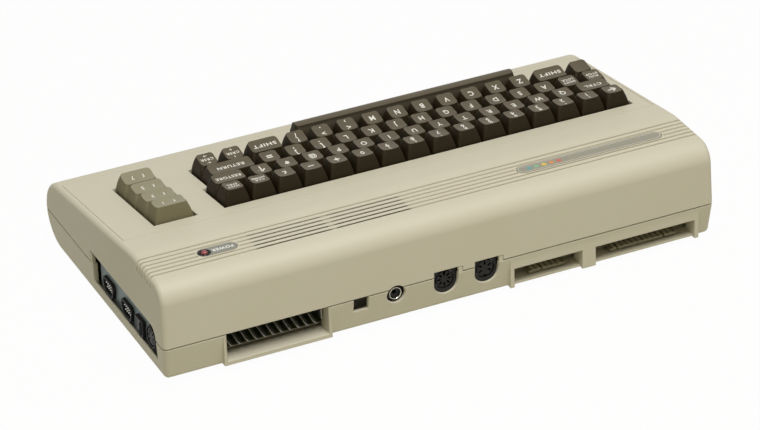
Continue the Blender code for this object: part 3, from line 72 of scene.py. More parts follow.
# Case outline, as in the solids
CASE_LOW, CASE_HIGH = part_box("upper_case")
HALF_WIDTH = CASE_HIGH.x
HALF_DEPTH = CASE_HIGH.y
CASE_HEIGHT = CASE_HIGH.z
FOOT_HEIGHT = 5 * MM
SEAM_GAP = 0.4 * MM
SEAM_STEP = 0.4 * MM
PARTING_HEIGHT = CASE_LOW.z - SEAM_GAP / 2
CASE_WALL = 2.6 * MM
SIDE_EDGE_RADIUS = 3.5 * MM
SIDE_DRAFT = 1.2 * MM
CREST_FROM_REAR = 51.1 * MM
PANEL_SLOPE = math.radians(7.68)
FRONT_TOP_RADIUS = 24 * MM
FRONT_BOTTOM_RADIUS = 22 * MM
CREST_RADIUS = 50 * MM
STRIP_FALL = 1.2 * MM
REAR_TOP_INSET = 1.5 * MM
REAR_TOP_RADIUS = 14 * MM
REAR_BOTTOM_INSET = 4.0 * MM
REAR_BOTTOM_RADIUS = 4 * MM
ARC_STEPS = 14
EDGE_STEPS = 6
FIT_GAP = 0.3 * MM
OVERRUN = 4 * MM
LIP = 0.45 * MM
HOLE_LIP = 0.8 * MM
FINE_LIP = 0.2 * MM
SEAM_ROUND = 0.5 * MM
CREST_Y = HALF_DEPTH - CREST_FROM_REAR
STRIP_REAR = HALF_DEPTH - REAR_TOP_INSET

# Keyboard grid and caps
KEY_PITCH = 19.05 * MM
KEY_GAP = 0.85 * MM
OPENING_MARGIN = 1.2 * MM
OPENING_FROM_CREST = 35.75 * MM
KEYS_LEFT = -HALF_WIDTH + 16.4 * MM
FUNCTION_WIDTH_SHARE = 1.5
FUNCTION_LEFT = HALF_WIDTH - 32.3 * MM - FUNCTION_WIDTH_SHARE * KEY_PITCH
ROW_OFFSET_SHARES = (0, 0, -0.25, -0.25, 2.5)
ROW_TOP_HEIGHTS = (10.8 * MM, 9.3 * MM, 8.8 * MM, 9.8 * MM, 10.0 * MM)
ROW_TILT_ANGLES = (-3, -8, -12, -18, 0)
CAP_SKIRT = 2.2 * MM
CAP_TOP_WIDTH_LOSS = 5.8 * MM
CAP_TOP_DEPTH_LOSS = 5.6 * MM
CAP_TOP_SHIFT = 1.0 * MM
BAR_TOP_WIDTH_LOSS = 2.4 * MM
BAR_TOP_DEPTH_LOSS = 9.0 * MM
CAP_BASE_CORNER = 0.9 * MM
CAP_TOP_CORNER = 2.7 * MM
CAP_RIM = 0.4 * MM
CAP_TAPER_POWER = 1.6
DISH_ACROSS = 0.5 * MM
DISH_ALONG = 0.45 * MM
TROUGH = 0.8 * MM
BAR_CROWN = 1.5 * MM
CAP_SIDES = 64
CAP_LEVELS = 16
WALL_SHARE = 0.4
RIM_SHARE = 0.2
STEM_RADIUS = 2.6 * MM
FRAME_TOP = -6.8 * MM
FRAME_THICKNESS = 4 * MM
FRAME_LAP = 3 * MM
FRAME_RIM = 2 * MM
STEM_END = -9.8 * MM

KEYBOARD_PLACE = Matrix.Translation((
    0,
    CREST_Y - OPENING_FROM_CREST * math.cos(PANEL_SLOPE),
    CASE_HEIGHT - OPENING_FROM_CREST * math.sin(PANEL_SLOPE),
)) @ Matrix.Rotation(PANEL_SLOPE, 4, "X")

KEY_ROWS = (
    (("arrow_left", 1), ("1", 1), ("2", 1), ("3", 1), ("4", 1), ("5", 1), ("6", 1), ("7", 1),
     ("8", 1), ("9", 1), ("0", 1), ("plus", 1), ("minus", 1), ("pound", 1), ("home", 1), ("delete", 1)),
    (("control", 1.5), ("q", 1), ("w", 1), ("e", 1), ("r", 1), ("t", 1), ("y", 1), ("u", 1),
     ("i", 1), ("o", 1), ("p", 1), ("at", 1), ("star", 1), ("arrow_up", 1), ("restore", 1.5)),
    (("stop", 1), ("shift_lock", 1), ("a", 1), ("s", 1), ("d", 1), ("f", 1), ("g", 1), ("h", 1),
     ("j", 1), ("k", 1), ("l", 1), ("colon", 1), ("semicolon", 1), ("equals", 1), ("return", 2)),
    (("blank", 1), ("shift_left", 1.5), ("z", 1), ("x", 1), ("c", 1), ("v", 1), ("b", 1), ("n", 1),
     ("m", 1), ("comma", 1), ("full_stop", 1), ("slash", 1), ("shift_right", 1.5),
     ("cursor_down", 1), ("cursor_right", 1)),
    (("space", 9),),
)

# Legends: each line is its text, its width and height, and its place across and along the top
LETTER_HEIGHT = 4.5 * MM
LETTER_SLIMNESS = 0.84
DIGIT_HEIGHT = 4.1 * MM
DIGIT_ALONG = -1.7 * MM
SIGN_HEIGHT = 3.3 * MM
PAIRED_HEIGHT = 4.6 * MM
LONE_SIGN_HEIGHT = 6.6 * MM
SIGN_ALONG = 3.0 * MM
WORD_HEIGHT = 3.0 * MM
SMALL_WORD_HEIGHT = 2.2 * MM
WORD_LINE = 1.65 * MM
ARROW_LINE = 3.6 * MM
ARROW_HEIGHT = 2.0 * MM
LEGEND_PROUD = 0.04 * MM
LEGEND_WEIGHT = 0.022
# Height of a capital of the built-in typeface, at size one
CAPITAL_HEIGHT_SHARE = 0.686
LEGEND_SUNK = 0.25 * MM
SHIFTED = {
    "1": "!", "2": '"', "3": "#", "4": "$", "5": "%", "6": "&", "7": "'", "8": "(", "9": ")",
}
PAIRED = {"colon": ":[", "semicolon": ";]", "comma": ",<", "full_stop": ".>", "slash": "/?"}
SIGNS = {
    "arrow_left": "←", "0": "0", "plus": "+", "minus": "–", "pound": "£", "at": "@",
    "star": "*", "arrow_up": "↑", "equals": "=",
}
BIG_SIGNS = "+–*=←↑"
WORDS = {
    "control": (("CTRL", 13.0 * MM, WORD_HEIGHT, 0),),
    "restore": (("RESTORE", 18.0 * MM, WORD_HEIGHT, 0),),
    "return": (("RETURN", 19.5 * MM, WORD_HEIGHT, 0),),
    "shift_left": (("SHIFT", 17.0 * MM, WORD_HEIGHT, 0),),
    "shift_right": (("SHIFT", 17.0 * MM, WORD_HEIGHT, 0),),
    "shift_lock": (("SHIFT", 9.2 * MM, SMALL_WORD_HEIGHT, WORD_LINE),
                   ("LOCK", 8.8 * MM, SMALL_WORD_HEIGHT, -WORD_LINE)),
    "stop": (("RUN", 7.0 * MM, SMALL_WORD_HEIGHT, WORD_LINE),
             ("STOP", 9.0 * MM, SMALL_WORD_HEIGHT, -WORD_LINE)),
    "home": (("CLR", 7.0 * MM, SMALL_WORD_HEIGHT, WORD_LINE),
             ("HOME", 9.2 * MM, SMALL_WORD_HEIGHT, -WORD_LINE)),
    "delete": (("INST", 8.2 * MM, SMALL_WORD_HEIGHT, WORD_LINE),
               ("DEL", 7.4 * MM, SMALL_WORD_HEIGHT, -WORD_LINE)),
    "cursor_down": (("↑", 1.8 * MM, ARROW_HEIGHT, ARROW_LINE),
                    ("CRSR", 9.4 * MM, SMALL_WORD_HEIGHT, 0),
                    ("↓", 1.8 * MM, ARROW_HEIGHT, -ARROW_LINE)),
    "cursor_right": (("←", 3.0 * MM, 1.6 * MM, ARROW_LINE),
                     ("CRSR", 9.4 * MM, SMALL_WORD_HEIGHT, 0),
                     ("→", 3.0 * MM, 1.6 * MM, -ARROW_LINE)),
    "blank": (),
    "space": (),
}
FUNCTION_LETTER_ACROSS = 3.9 * MM
FUNCTION_LETTER_HEIGHT = 3.4 * MM


def linear(hex_colour):
    """An sRGB hex colour as the linear colour that shaders take."""
    channels = [int(hex_colour[start:start + 2], 16) / 255 for start in (1, 3, 5)]
    return [*(c / 12.92 if c <= 0.04045 else ((c + 0.055) / 1.055) ** 2.4 for c in channels), 1]


def add_node(tree, kind, inputs=None, **settings):
    """Add a node with its settings, and fill or link its inputs by name or number."""
    node = tree.nodes.new(kind)
    for key, value in settings.items():
        setattr(node, key, value)
    for key, value in (inputs or {}).items():
        if isinstance(value, bpy.types.NodeSocket):
            tree.links.new(value, node.inputs[key])
        else:
            node.inputs[key].default_value = value
    return node


def new_material(name, **sockets):
    """A material with its shader's own sockets set."""
    material = bpy.data.materials.new(name)
    material.use_nodes = True
    tree = material.node_tree
    shader = tree.nodes["Principled BSDF"]
    for key, value in sockets.items():
        shader.inputs[key.replace("_", " ")].default_value = value
    return material, tree, shader


def surface_noise(tree, size, detail=2.0, stretch=(1, 1, 1)):
    """Noise over the object's own coordinates, with patches of a real size."""
    place = add_node(tree, "ShaderNodeTexCoord")
    turned = add_node(tree, "ShaderNodeMapping", {"Vector": place.outputs["Object"], "Scale": stretch})
    noise = add_node(tree, "ShaderNodeTexNoise",
                     {"Vector": turned.outputs[0], "Scale": 1 / size, "Detail": detail})
    return noise.outputs[0]


def blend_colours(tree, factor, first, second):
    """A colour between two hex colours, by a factor."""
    mixed = add_node(tree, "ShaderNodeMix", {0: factor, 6: linear(first), 7: linear(second)}, data_type="RGBA")
    return mixed.outputs[2]


def moulded_plastic(name, light, dark, roughness, grain, relief, patch=40 * MM, spread=0.05):
    """Injection-moulded plastic: two close shades in soft patches, and the grain of its tool."""
    material, tree, shader = new_material(name)
    patches = surface_noise(tree, patch, 3.0)
    tree.links.new(blend_colours(tree, patches, light, dark), shader.inputs["Base Color"])
    shine = add_node(tree, "ShaderNodeMapRange",
                     {"Value": surface_noise(tree, patch / 8), "To Min": roughness - spread,
                      "To Max": roughness + spread})
    tree.links.new(shine.outputs[0], shader.inputs["Roughness"])
    bump = add_node(tree, "ShaderNodeBump",
                    {"Height": surface_noise(tree, grain, 4.0), "Distance": relief, "Strength": 0.6})
    tree.links.new(bump.outputs[0], shader.inputs["Normal"])
    return material


def keycap_plastic(name, side, top, shine):
    """Doubleshot keycap plastic: a fine grain; faces that point up are painted paler as a highlight and the sides
    darker as painted shade, and the tops are smoother.
    """
    material, tree, shader = new_material(name)
    shader.inputs["Specular IOR Level"].default_value = shine
    facing = add_node(tree, "ShaderNodeSeparateXYZ", {0: add_node(tree, "ShaderNodeNewGeometry").outputs["Normal"]})
    # Painted light: the share of the paler top colour grows as a face turns up, so the tops get a painted highlight and
    # the sides painted shade.
    upward_painted_light = add_node(tree, "ShaderNodeMapRange", {"Value": facing.outputs["Z"], "From Min": 0.45, "From Max": 0.95})
    cloud = surface_noise(tree, 14 * MM, 3.0)
    uneven = add_node(tree, "ShaderNodeMapRange", {"Value": cloud, "To Min": 0.7, "To Max": 1.0})
    share = add_node(tree, "ShaderNodeMath", {0: upward_painted_light.outputs[0], 1: uneven.outputs[0]}, operation="MULTIPLY")
    tree.links.new(blend_colours(tree, share.outputs[0], side, top), shader.inputs["Base Color"])
    roughness = add_node(tree, "ShaderNodeMapRange", {"Value": share.outputs[0], "To Min": 0.56, "To Max": 0.42})
    tree.links.new(roughness.outputs[0], shader.inputs["Roughness"])
    bump = add_node(tree, "ShaderNodeBump",
                    {"Height": surface_noise(tree, 0.35 * MM, 4.0), "Distance": 0.02 * MM, "Strength": 0.6})
    tree.links.new(bump.outputs[0], shader.inputs["Normal"])
    return material


def rolled_metal(name, light, dark, roughness, streak, metallic=1.0):
    """Rolled sheet metal: fine streaks along the sheet, duller where it was handled."""
    material, tree, shader = new_material(name, Metallic=metallic)
    streaks = surface_noise(tree, streak, 3.0, (0.06, 1, 1))
    clouds = surface_noise(tree, streak * 12, 2.0)
    tree.links.new(blend_colours(tree, clouds, light, dark), shader.inputs["Base Color"])
    shine = add_node(tree, "ShaderNodeMapRange",
                     {"Value": streaks, "To Min": roughness - 0.08, "To Max": roughness + 0.1})
    tree.links.new(shine.outputs[0], shader.inputs["Roughness"])
    bump = add_node(tree, "ShaderNodeBump", {"Height": streaks, "Distance": 0.02 * MM, "Strength": 0.5})
    tree.links.new(bump.outputs[0], shader.inputs["Normal"])
    return material


def lamp_epoxy():
    """Red-dyed epoxy, cast: clear and glossy, dark where the lamp is off, with a faint inner glow of colour."""
    material, tree, shader = new_material("cast_epoxy_red", Roughness=0.12, IOR=1.55)
    depth = surface_noise(tree, 1.4 * MM, 1.0)
    tree.links.new(blend_colours(tree, depth, "#B3141F", "#7C0A15"), shader.inputs["Base Color"])
    shader.inputs["Transmission Weight"].default_value = 0.25
    shader.inputs["Coat Weight"].default_value = 0.6
    shader.inputs["Coat Roughness"].default_value = 0.05
    return material


BARE_FROM = HALF_DEPTH - 15.5 * MM


def board_laminate():
    """Epoxy-glass laminate, etched: green mask with tracks inside, bare pale laminate at the card edges."""
    material, tree, shader = new_material("etched_epoxy_laminate", Roughness=0.42)
    place = add_node(tree, "ShaderNodeTexCoord")
    tracks = add_node(tree, "ShaderNodeTexBrick",
                      {"Vector": place.outputs["Object"], "Scale": 1 / (4 * MM), "Mortar Size": 0.05,
                       "Color1": linear("#2E3A1C"), "Color2": linear("#343F20"), "Mortar": linear("#55602F")})
    weave = surface_noise(tree, 0.5 * MM, 2.0)
    bare = blend_colours(tree, weave, "#8F876A", "#7C7559")
    across = add_node(tree, "ShaderNodeSeparateXYZ", {0: place.outputs["Object"]})
    edge = add_node(tree, "ShaderNodeMath", {0: across.outputs["Y"], 1: BARE_FROM}, operation="GREATER_THAN")
    shown = add_node(tree, "ShaderNodeMix", {0: edge.outputs[0], 6: tracks.outputs[0], 7: bare},
                     data_type="RGBA")
    tree.links.new(shown.outputs[2], shader.inputs["Base Color"])
    return material

# Spark-eroded ABS: a fine even grain keeps its pale face matt, and years of light have warmed it in soft patches.
BEIGE_ABS = moulded_plastic("spark_eroded_abs_beige", "#D3CDB8", "#CFC8B1", 0.55, 0.5 * MM, 0.03 * MM, 60 * MM)
# Doubleshot ABS caps, dark brown and grey: satin, with their tops painted paler as a highlight and their sides painted
# darker as shade.
DARK_ABS = keycap_plastic("doubleshot_abs_brown", "#251C0A", "#685F4E", 0.16)
GREY_ABS = keycap_plastic("doubleshot_abs_grey", "#756E52", "#9A947B", 0.2)
# The second shot of the caps: smooth white ABS, slightly yellowed.
WHITE_ABS = moulded_plastic("second_shot_abs_white", "#F1EEE4", "#E8E4D6", 0.4, 0.4 * MM, 0.01 * MM, 10 * MM)
# Glass-filled PBT of sockets: near black, with a dull skin.
BLACK_PBT = moulded_plastic("glass_filled_pbt_black", "#1A1916", "#11110F", 0.45, 0.3 * MM, 0.02 * MM, 8 * MM)
BLACK_PBT.node_tree.nodes["Principled BSDF"].inputs["Specular IOR Level"].default_value = 0.25
SLATE_PBT = moulded_plastic("glass_filled_pbt_slate", "#2F3634", "#262C2B", 0.42, 0.3 * MM, 0.02 * MM, 8 * MM)
SLATE_PBT.node_tree.nodes["Principled BSDF"].inputs["Specular IOR Level"].default_value = 0.3
# Moulded rubber of the feet: dark and quite matt.
FOOT_RUBBER = moulded_plastic("moulded_rubber_feet", "#3B3935", "#2F2D2A", 0.8, 0.4 * MM, 0.04 * MM, 8 * MM)
# Tinned steel of shields and cans: bright, with fine rolling streaks.
TINNED_STEEL = rolled_metal("rolled_tinned_steel", "#D9D8D2", "#BDBBB2", 0.3, 0.6 * MM)
# Passivated zinc of the side plate: blue-grey and half matt.
ZINC_PLATE = rolled_metal("passivated_zinc_sheet", "#6F7B79", "#606B6A", 0.45, 0.8 * MM, 0.4)
# Nickel-plated brass of the jack and of socket pins: smooth and bright.
NICKEL = rolled_metal("nickel_plated_brass", "#D8D2C2", "#C2BBA9", 0.2, 0.4 * MM)
# Tin-lead plated copper of the card edges: dull silver.
CONTACT_TIN = rolled_metal("plated_copper_contacts", "#D0C9AE", "#BCB497", 0.4, 0.5 * MM, 0.25)
# Printed aluminium of the badge and label: grey lacquer over a fine brushed grain.
BADGE_GREY = rolled_metal("lacquered_aluminium_grey", "#9A9683", "#928E7C", 0.4, 0.35 * MM, 0.25)
# Screen-printed enamel inks of the badge's dots and of its lettering.
INK_COLOURS = ("#5D9A9B", "#7FB08A", "#D9B94F", "#D98A4B", "#C9604C")
DOT_INKS = [moulded_plastic(f"screen_printed_enamel_{index + 1}", shade, shade, 0.35, 0.3 * MM, 0.004 * MM, 3 * MM)
            for index, shade in enumerate(INK_COLOURS)]
LAMP_RED = lamp_epoxy()
WHITE_INK = moulded_plastic("screen_printed_enamel_white", "#F4F2EA", "#ECE9DF", 0.35, 0.3 * MM, 0.004 * MM, 3 * MM)
# Polished black bezel of the lamp: glossy enough to mirror the lamp light.
GLOSS_BLACK = moulded_plastic("polished_abs_black", "#17150F", "#0F0E0A", 0.14, 0.3 * MM, 0.002 * MM, 8 * MM, 0.03)
GLOSS_BLACK.node_tree.nodes["Principled BSDF"].inputs["Specular IOR Level"].default_value = 0.2
# Black phenolic of the round sockets: warmer and duller than the ports.
SOCKET_PBT = moulded_plastic("moulded_phenolic_black", "#211F19", "#151410", 0.5, 0.3 * MM, 0.02 * MM, 6 * MM)
SOCKET_PBT.node_tree.nodes["Principled BSDF"].inputs["Specular IOR Level"].default_value = 0.25
# Printed label: grey lacquer, a little darker than the badge.
LABEL_GREY = rolled_metal("lacquered_label_grey", "#8B8B80", "#838378", 0.42, 0.35 * MM, 0.2)
# Bright tin on the pins, and the springy tin-bronze of the shield's fingers. The folds along the fingers are the same
# tin-bronze, painted near white as a highlight.
PIN_TIN = rolled_metal("bright_tinned_pins", "#F1EFE8", "#E2DFD6", 0.3, 0.3 * MM, 0.55)
SPRING_TIN = rolled_metal("tinned_spring_bronze", "#8D8B84", "#77756F", 0.34, 0.5 * MM, 0.6)
FOLD_PAINTED_HIGHLIGHT = rolled_metal("tinned_bronze_folds_painted_highlight", "#FBFAF6", "#F0EEE8", 0.35, 0.4 * MM, 0.1)
# Zinc-plated screws of the floor.
ZINC_SCREW = rolled_metal("zinc_plated_screws", "#B9BBB6", "#9DA09B", 0.32, 0.3 * MM)
BOARD_LAMINATE = board_laminate()


def loft(form, rings, close_start=True, close_end=True):
    """Join rings of equal point counts with faces, and close the two ends."""
    loops = [[form.verts.new(point) for point in ring] for ring in rings]
    count = len(loops[0])
    for lower, upper in zip(loops, loops[1:]):
        for index in range(count):
            after = (index + 1) % count
            form.faces.new((lower[index], lower[after], upper[after], upper[index]))
    if close_start:
        form.faces.new(loops[0][::-1])
    if close_end:
        form.faces.new(loops[-1])
    return loops


def stand(u, v, reach, axis):
    """A point of a flat outline, carried out along an axis."""
    if axis == "x":
        return Vector((reach, u, v))
    if axis == "y":
        return Vector((u, reach, v))
    return Vector((u, v, reach))


def prism(form, points, low, high, axis="z", centre=(0, 0, 0)):
    """Carry a flat outline from low to high along an axis."""
    middle = Vector(centre)
    loft(form, [[middle + stand(u, v, reach, axis) for u, v in points] for reach in (low, high)])


def box(form, low, high):
    """Add a box between two corners."""
    (x0, y0, z0), (x1, y1, z1) = low, high
    prism(form, [(x0, y0), (x1, y0), (x1, y1), (x0, y1)], z0, z1)


def rectangle(low_u, low_v, high_u, high_v):
    """The corners of a flat rectangle."""
    return [(low_u, low_v), (high_u, low_v), (high_u, high_v), (low_u, high_v)]


def circle(radius, sides, start=0.0, centre=(0, 0)):
    """Points round a circle in its own plane."""
    turns = [start + TAU * index / sides for index in range(sides)]
    return [(centre[0] + radius * math.cos(turn), centre[1] + radius * math.sin(turn)) for turn in turns]


def stadium(length, width, steps):
    """Points round a bar with half-round ends."""
    radius = width / 2
    points = []
    for side, start in ((1, -math.pi / 2), (-1, math.pi / 2)):
        for step in range(steps + 1):
            turn = start + math.pi * step / steps
            points.append((side * (length / 2 - radius) + radius * math.cos(turn), radius * math.sin(turn)))
    return points


def turned(form, profile, sides, axis="z", centre=(0, 0, 0), closed=False):
    """A turned form from pairs of radius and reach, closed by its ends or into a ring."""
    middle = Vector(centre)
    rings = [[middle + stand(u, v, reach, axis) for u, v in circle(radius, sides)] for radius, reach in profile]
    if not closed:
        loft(form, rings)
        return
    loops = loft(form, rings, False, False)
    for index in range(sides):
        after = (index + 1) % sides
        form.faces.new((loops[-1][index], loops[-1][after], loops[0][after], loops[0][index]))


def fillet(before, corner, after, radius, steps):
    """Points of an arc of a radius that rounds a corner between two lines."""
    to_before = (before - corner).normalized()
    to_after = (after - corner).normalized()
    half = to_before.angle(to_after) / 2
    centre = corner + (to_before + to_after).normalized() * (radius / math.sin(half))
    start = corner + to_before * (radius / math.tan(half)) - centre
    end = corner + to_after * (radius / math.tan(half)) - centre
    sweep = math.pi - 2 * half
    points = []
    for step in range(steps + 1):
        part = step / steps
        mixed = start * math.sin((1 - part) * sweep) + end * math.sin(part * sweep)
        points.append(centre + mixed / math.sin(sweep))
    return points


def rounded(corners, radius, steps):
    """A closed outline with all its corners rounded alike."""
    points = []
    for index, corner in enumerate(corners):
        before, after = corners[index - 1], corners[(index + 1) % len(corners)]
        points += fillet(Vector(before), Vector(corner), Vector(after), radius, steps)
    return [(p.x, p.y) for p in points]


def spread(points, distance):
    """A closed flat outline moved outward by a distance."""
    count = len(points)
    area = sum(points[i - 1][0] * points[i][1] - points[i][0] * points[i - 1][1] for i in range(count))
    turn = 1 if area > 0 else -1
    moved = []
    for index in range(count):
        here = Vector(points[index])
        first = (here - Vector(points[index - 1])).normalized()
        second = (Vector(points[(index + 1) % count]) - here).normalized()
        normal_one = Vector((first.y, -first.x)) * turn
        normal_two = Vector((second.y, -second.x)) * turn
        moved.append(here + (normal_one + normal_two) * (distance / (1 + normal_one.dot(normal_two))))
    return [(p.x, p.y) for p in moved]


def lipped(form, points, inside, mouth, axis="z", centre=(0, 0, 0), lip=LIP):
    """A cutter that widens in an arc at its mouth, so that it leaves a rounded edge."""
    way = 1 if mouth > inside else -1
    middle = Vector(centre)
    stations = [(0, inside)]
    for angle in (0, 24, 48, 70):
        turn = math.radians(angle)
        stations.append((lip * (1 - math.cos(turn)), mouth - way * lip * (1 - math.sin(turn))))
    stations.append((stations[-1][0], mouth + way * OVERRUN))
    rings = []
    for reach, depth in stations:
        edge = spread(points, reach) if reach else points
        rings.append([middle + stand(u, v, depth, axis) for u, v in edge])
    loft(form, rings)


def to_mesh(form, name):
    """Turn a bmesh into mesh data with its faces pointing out."""
    bmesh.ops.recalc_face_normals(form, faces=form.faces)
    mesh = bpy.data.meshes.new(name)
    form.to_mesh(mesh)
    form.free()
    return mesh


def plain_copy(item, *tools):
    """The evaluated mesh of an object, which is then removed with its tools."""
    bpy.context.view_layer.update()
    graph = bpy.context.evaluated_depsgraph_get()
    mesh = bpy.data.meshes.new_from_object(item.evaluated_get(graph))
    for used in (item, *tools):
        bpy.data.objects.remove(used, do_unlink=True)
    return mesh


def work_object(name, mesh):
    """An object that serves to make a mesh."""
    item = bpy.data.objects.new(name, mesh)
    bpy.context.scene.collection.objects.link(item)
    return item


def carve(name, form, steps):
    """Cut forms out of a form, or join them on, one after another."""
    base = work_object(name, to_mesh(form, name))
    tools = []
    for operation, tool_form in steps:
        mesh = tool_form if isinstance(tool_form, bpy.types.Mesh) else to_mesh(tool_form, "tool")
        tool = work_object("tool", mesh)
        change = base.modifiers.new("step", "BOOLEAN")
        change.operation = operation
        change.solver = "EXACT"
        change.object = tool
        tools.append(tool)
    return plain_copy(base, *tools)


def shade(mesh, angle=30):
    """Smooth shading, with edges kept sharp past an angle."""
    mesh.shade_smooth()
    mesh.set_sharp_from_angle(angle=math.radians(angle))
    return mesh


def add_piece(name, mesh, materials, body="root", stands_for=(), even=False):
    """Put a finished mesh in the scene as a piece of a body."""
    piece = work_object(name, mesh)
    if len(mesh.materials) != len(materials):
        mesh.materials.clear()
        for material in materials:
            mesh.materials.append(material)
    if even:
        normals = piece.modifiers.new("even_shading", "WEIGHTED_NORMAL")
        normals.keep_sharp = True
    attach(piece, body)
    if stands_for:
        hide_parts(*stands_for)
    return piece


def row_tree():
    """Geometry nodes that repeat a form along a line, by a count and a step."""
    tree = bpy.data.node_groups.new("row_of_pieces", "GeometryNodeTree")
    for name, kind in (("Piece", "Geometry"), ("Count", "Int"), ("Step", "Vector"), ("Finish", "Material")):
        tree.interface.new_socket(name, in_out="INPUT", socket_type="NodeSocket" + kind)
    tree.interface.new_socket("Row", in_out="OUTPUT", socket_type="NodeSocketGeometry")
    given = add_node(tree, "NodeGroupInput").outputs
    line = add_node(tree, "GeometryNodeMeshLine", {"Count": given["Count"], "Offset": given["Step"]},
                    mode="OFFSET")
    copies = add_node(tree, "GeometryNodeInstanceOnPoints",
                      {"Points": line.outputs[0], "Instance": given["Piece"]})
    real = add_node(tree, "GeometryNodeRealizeInstances", {"Geometry": copies.outputs[0]})
    finished = add_node(tree, "GeometryNodeSetMaterial",
                        {"Geometry": real.outputs[0], "Material": given["Finish"]})
    add_node(tree, "NodeGroupOutput", {"Row": finished.outputs[0]})
    return tree


ROW_TREE = row_tree()


def run_tree(tree, mesh, values):
    """Run a node tree on a mesh with its inputs set, and return the plain mesh."""
    item = work_object(tree.name, mesh)
    modifier = item.modifiers.new(tree.name, "NODES")
    modifier.node_group = tree
    sockets = {s.name: s.identifier for s in tree.interface.items_tree if s.in_out == "INPUT"}
    for name, value in values.items():
        modifier[sockets[name]] = value
    item.update_tag()
    return plain_copy(item)


def row_of(form, count, step, finish=None):
    """Repeat a form in a row."""
    values = {"Count": count, "Step": step}
    if finish:
        values["Finish"] = finish
    return run_tree(ROW_TREE, to_mesh(form, "row"), values)


def outline(corners, radii):
    """A side outline through corner points, with the inner ones rounded."""
    points = [corners[0]]
    for index, radius in enumerate(radii, start=1):
        points += fillet(corners[index - 1], corners[index], corners[index + 1], radius, ARC_STEPS)
    points.append(corners[-1])
    return points


def inset(points, distance):
    """Move an open outline inward, keeping its two ends at their height."""
    moved = []
    for index, point in enumerate(points):
        back = points[max(index - 1, 0)]
        ahead = points[min(index + 1, len(points) - 1)]
        first = (point - back) if index else (ahead - point)
        second = (ahead - point) if index < len(points) - 1 else (point - back)
        normal_one = Vector((first.y, -first.x)).normalized()
        normal_two = Vector((second.y, -second.x)).normalized()
        shifted = point + (normal_one + normal_two) * (distance / (1 + normal_one.dot(normal_two)))
        if index in (0, len(points) - 1):
            along = second if index == 0 else first
            shifted += along * ((point.y - shifted.y) / along.y)
        moved.append(shifted)
    return moved


def case_half(points, far_height):
    """A solid half case with rounded side edges and a softened edge along the parting line."""
    stations = []
    for step in range(EDGE_STEPS + 1):
        turn = math.pi / 2 * step / EDGE_STEPS
        reach = HALF_WIDTH - SIDE_EDGE_RADIUS + SIDE_EDGE_RADIUS * math.cos(turn)
        stations.append((reach, SIDE_EDGE_RADIUS * (1 - math.sin(turn))))
    stations = [(-reach, depth) for reach, depth in stations] + stations[::-1]
    rings = []
    for reach, depth in stations:
        ring = []
        for point in inset(points, depth):
            rise = abs(point.y - PARTING_HEIGHT) / abs(far_height - PARTING_HEIGHT)
            ring.append((reach - math.copysign(SIDE_DRAFT, reach) * rise, point.x, point.y))
        rings.append(ring)
    form = bmesh.new()
    loft(form, rings)
    bmesh.ops.recalc_face_normals(form, faces=form.faces)
    level = points[0].y
    seam = []
    for edge in form.edges:
        at_parting = all(abs(v.co.z - level) < FIT_GAP / 10 for v in edge.verts)
        flat_sides = sum(abs(face.normal.z) > 0.99 for face in edge.link_faces)
        if at_parting and flat_sides == 1:
            seam.append(edge)
    bmesh.ops.bevel(form, geom=seam, offset=SEAM_ROUND, segments=2, profile=0.5, affect="EDGES")
    return form


def hollow(points):
    """The inside of a half case, as a cutter."""
    inner = inset(points, CASE_WALL)
    away = OVERRUN if points[1].y < points[0].y else -OVERRUN
    reach = HALF_WIDTH - CASE_WALL - SIDE_DRAFT
    ring = [inner[0] + Vector((0, away))] + inner + [inner[-1] + Vector((0, away))]
    form = bmesh.new()
    prism(form, [(p.x, p.y) for p in ring], -reach, reach, "x")
    return form


# Ribbed strip with its vents, badge, label and lamp
GROOVE_COUNT = 6
GROOVE_PITCH = 4.44 * MM
GROOVE_WIDTH = 1.6 * MM
GROOVE_DEPTH = 1.6 * MM
GROOVE_ROUND = 0.3 * MM
GROOVE_WRAP = 8.2 * MM
LAST_GROOVE_Y = HALF_DEPTH - 20.3 * MM
STRIP_MIDDLE = LAST_GROOVE_Y - (GROOVE_COUNT - 1) * GROOVE_PITCH / 2
STRIP_HEIGHT = CASE_HEIGHT - STRIP_FALL * (STRIP_MIDDLE - CREST_Y) / (STRIP_REAR - CREST_Y)
VENT_LENGTH = 52.8 * MM
VENT_SPACING = 57.0 * MM
VENT_RIGHT = HALF_WIDTH - 76.8 * MM
VENT_WIDTH = 1.7 * MM
VENT_UNDERCUT = 0.85 * MM
VENT_EDGE = 0.45 * MM
VENT_GROUPS = 2
PLATE_WIDTH = 9.4 * MM
PLATE_RECESS = 1.0 * MM
PLATE_THICKNESS = 0.9 * MM
PAD_RIM = 1.2 * MM
BADGE_LENGTH = 109.4 * MM
BADGE_CENTRE = -HALF_WIDTH + 24.0 * MM + BADGE_LENGTH / 2
LABEL_LENGTH = 27.6 * MM
LABEL_CENTRE = HALF_WIDTH - 39.4 * MM - LABEL_LENGTH / 2
LAMP_X = LABEL_CENTRE + LABEL_LENGTH / 2 - PLATE_WIDTH / 2
BEZEL_RADIUS = 4.3 * MM
BEZEL_TUBE = 3.5 * MM
LAMP_RADIUS = 2.5 * MM
LAMP_HEIGHT = 2.6 * MM


def strip_fall(y):
    """How far the strip has fallen from the crest at a place."""
    return STRIP_FALL * (y - CREST_Y) / (STRIP_REAR - CREST_Y)


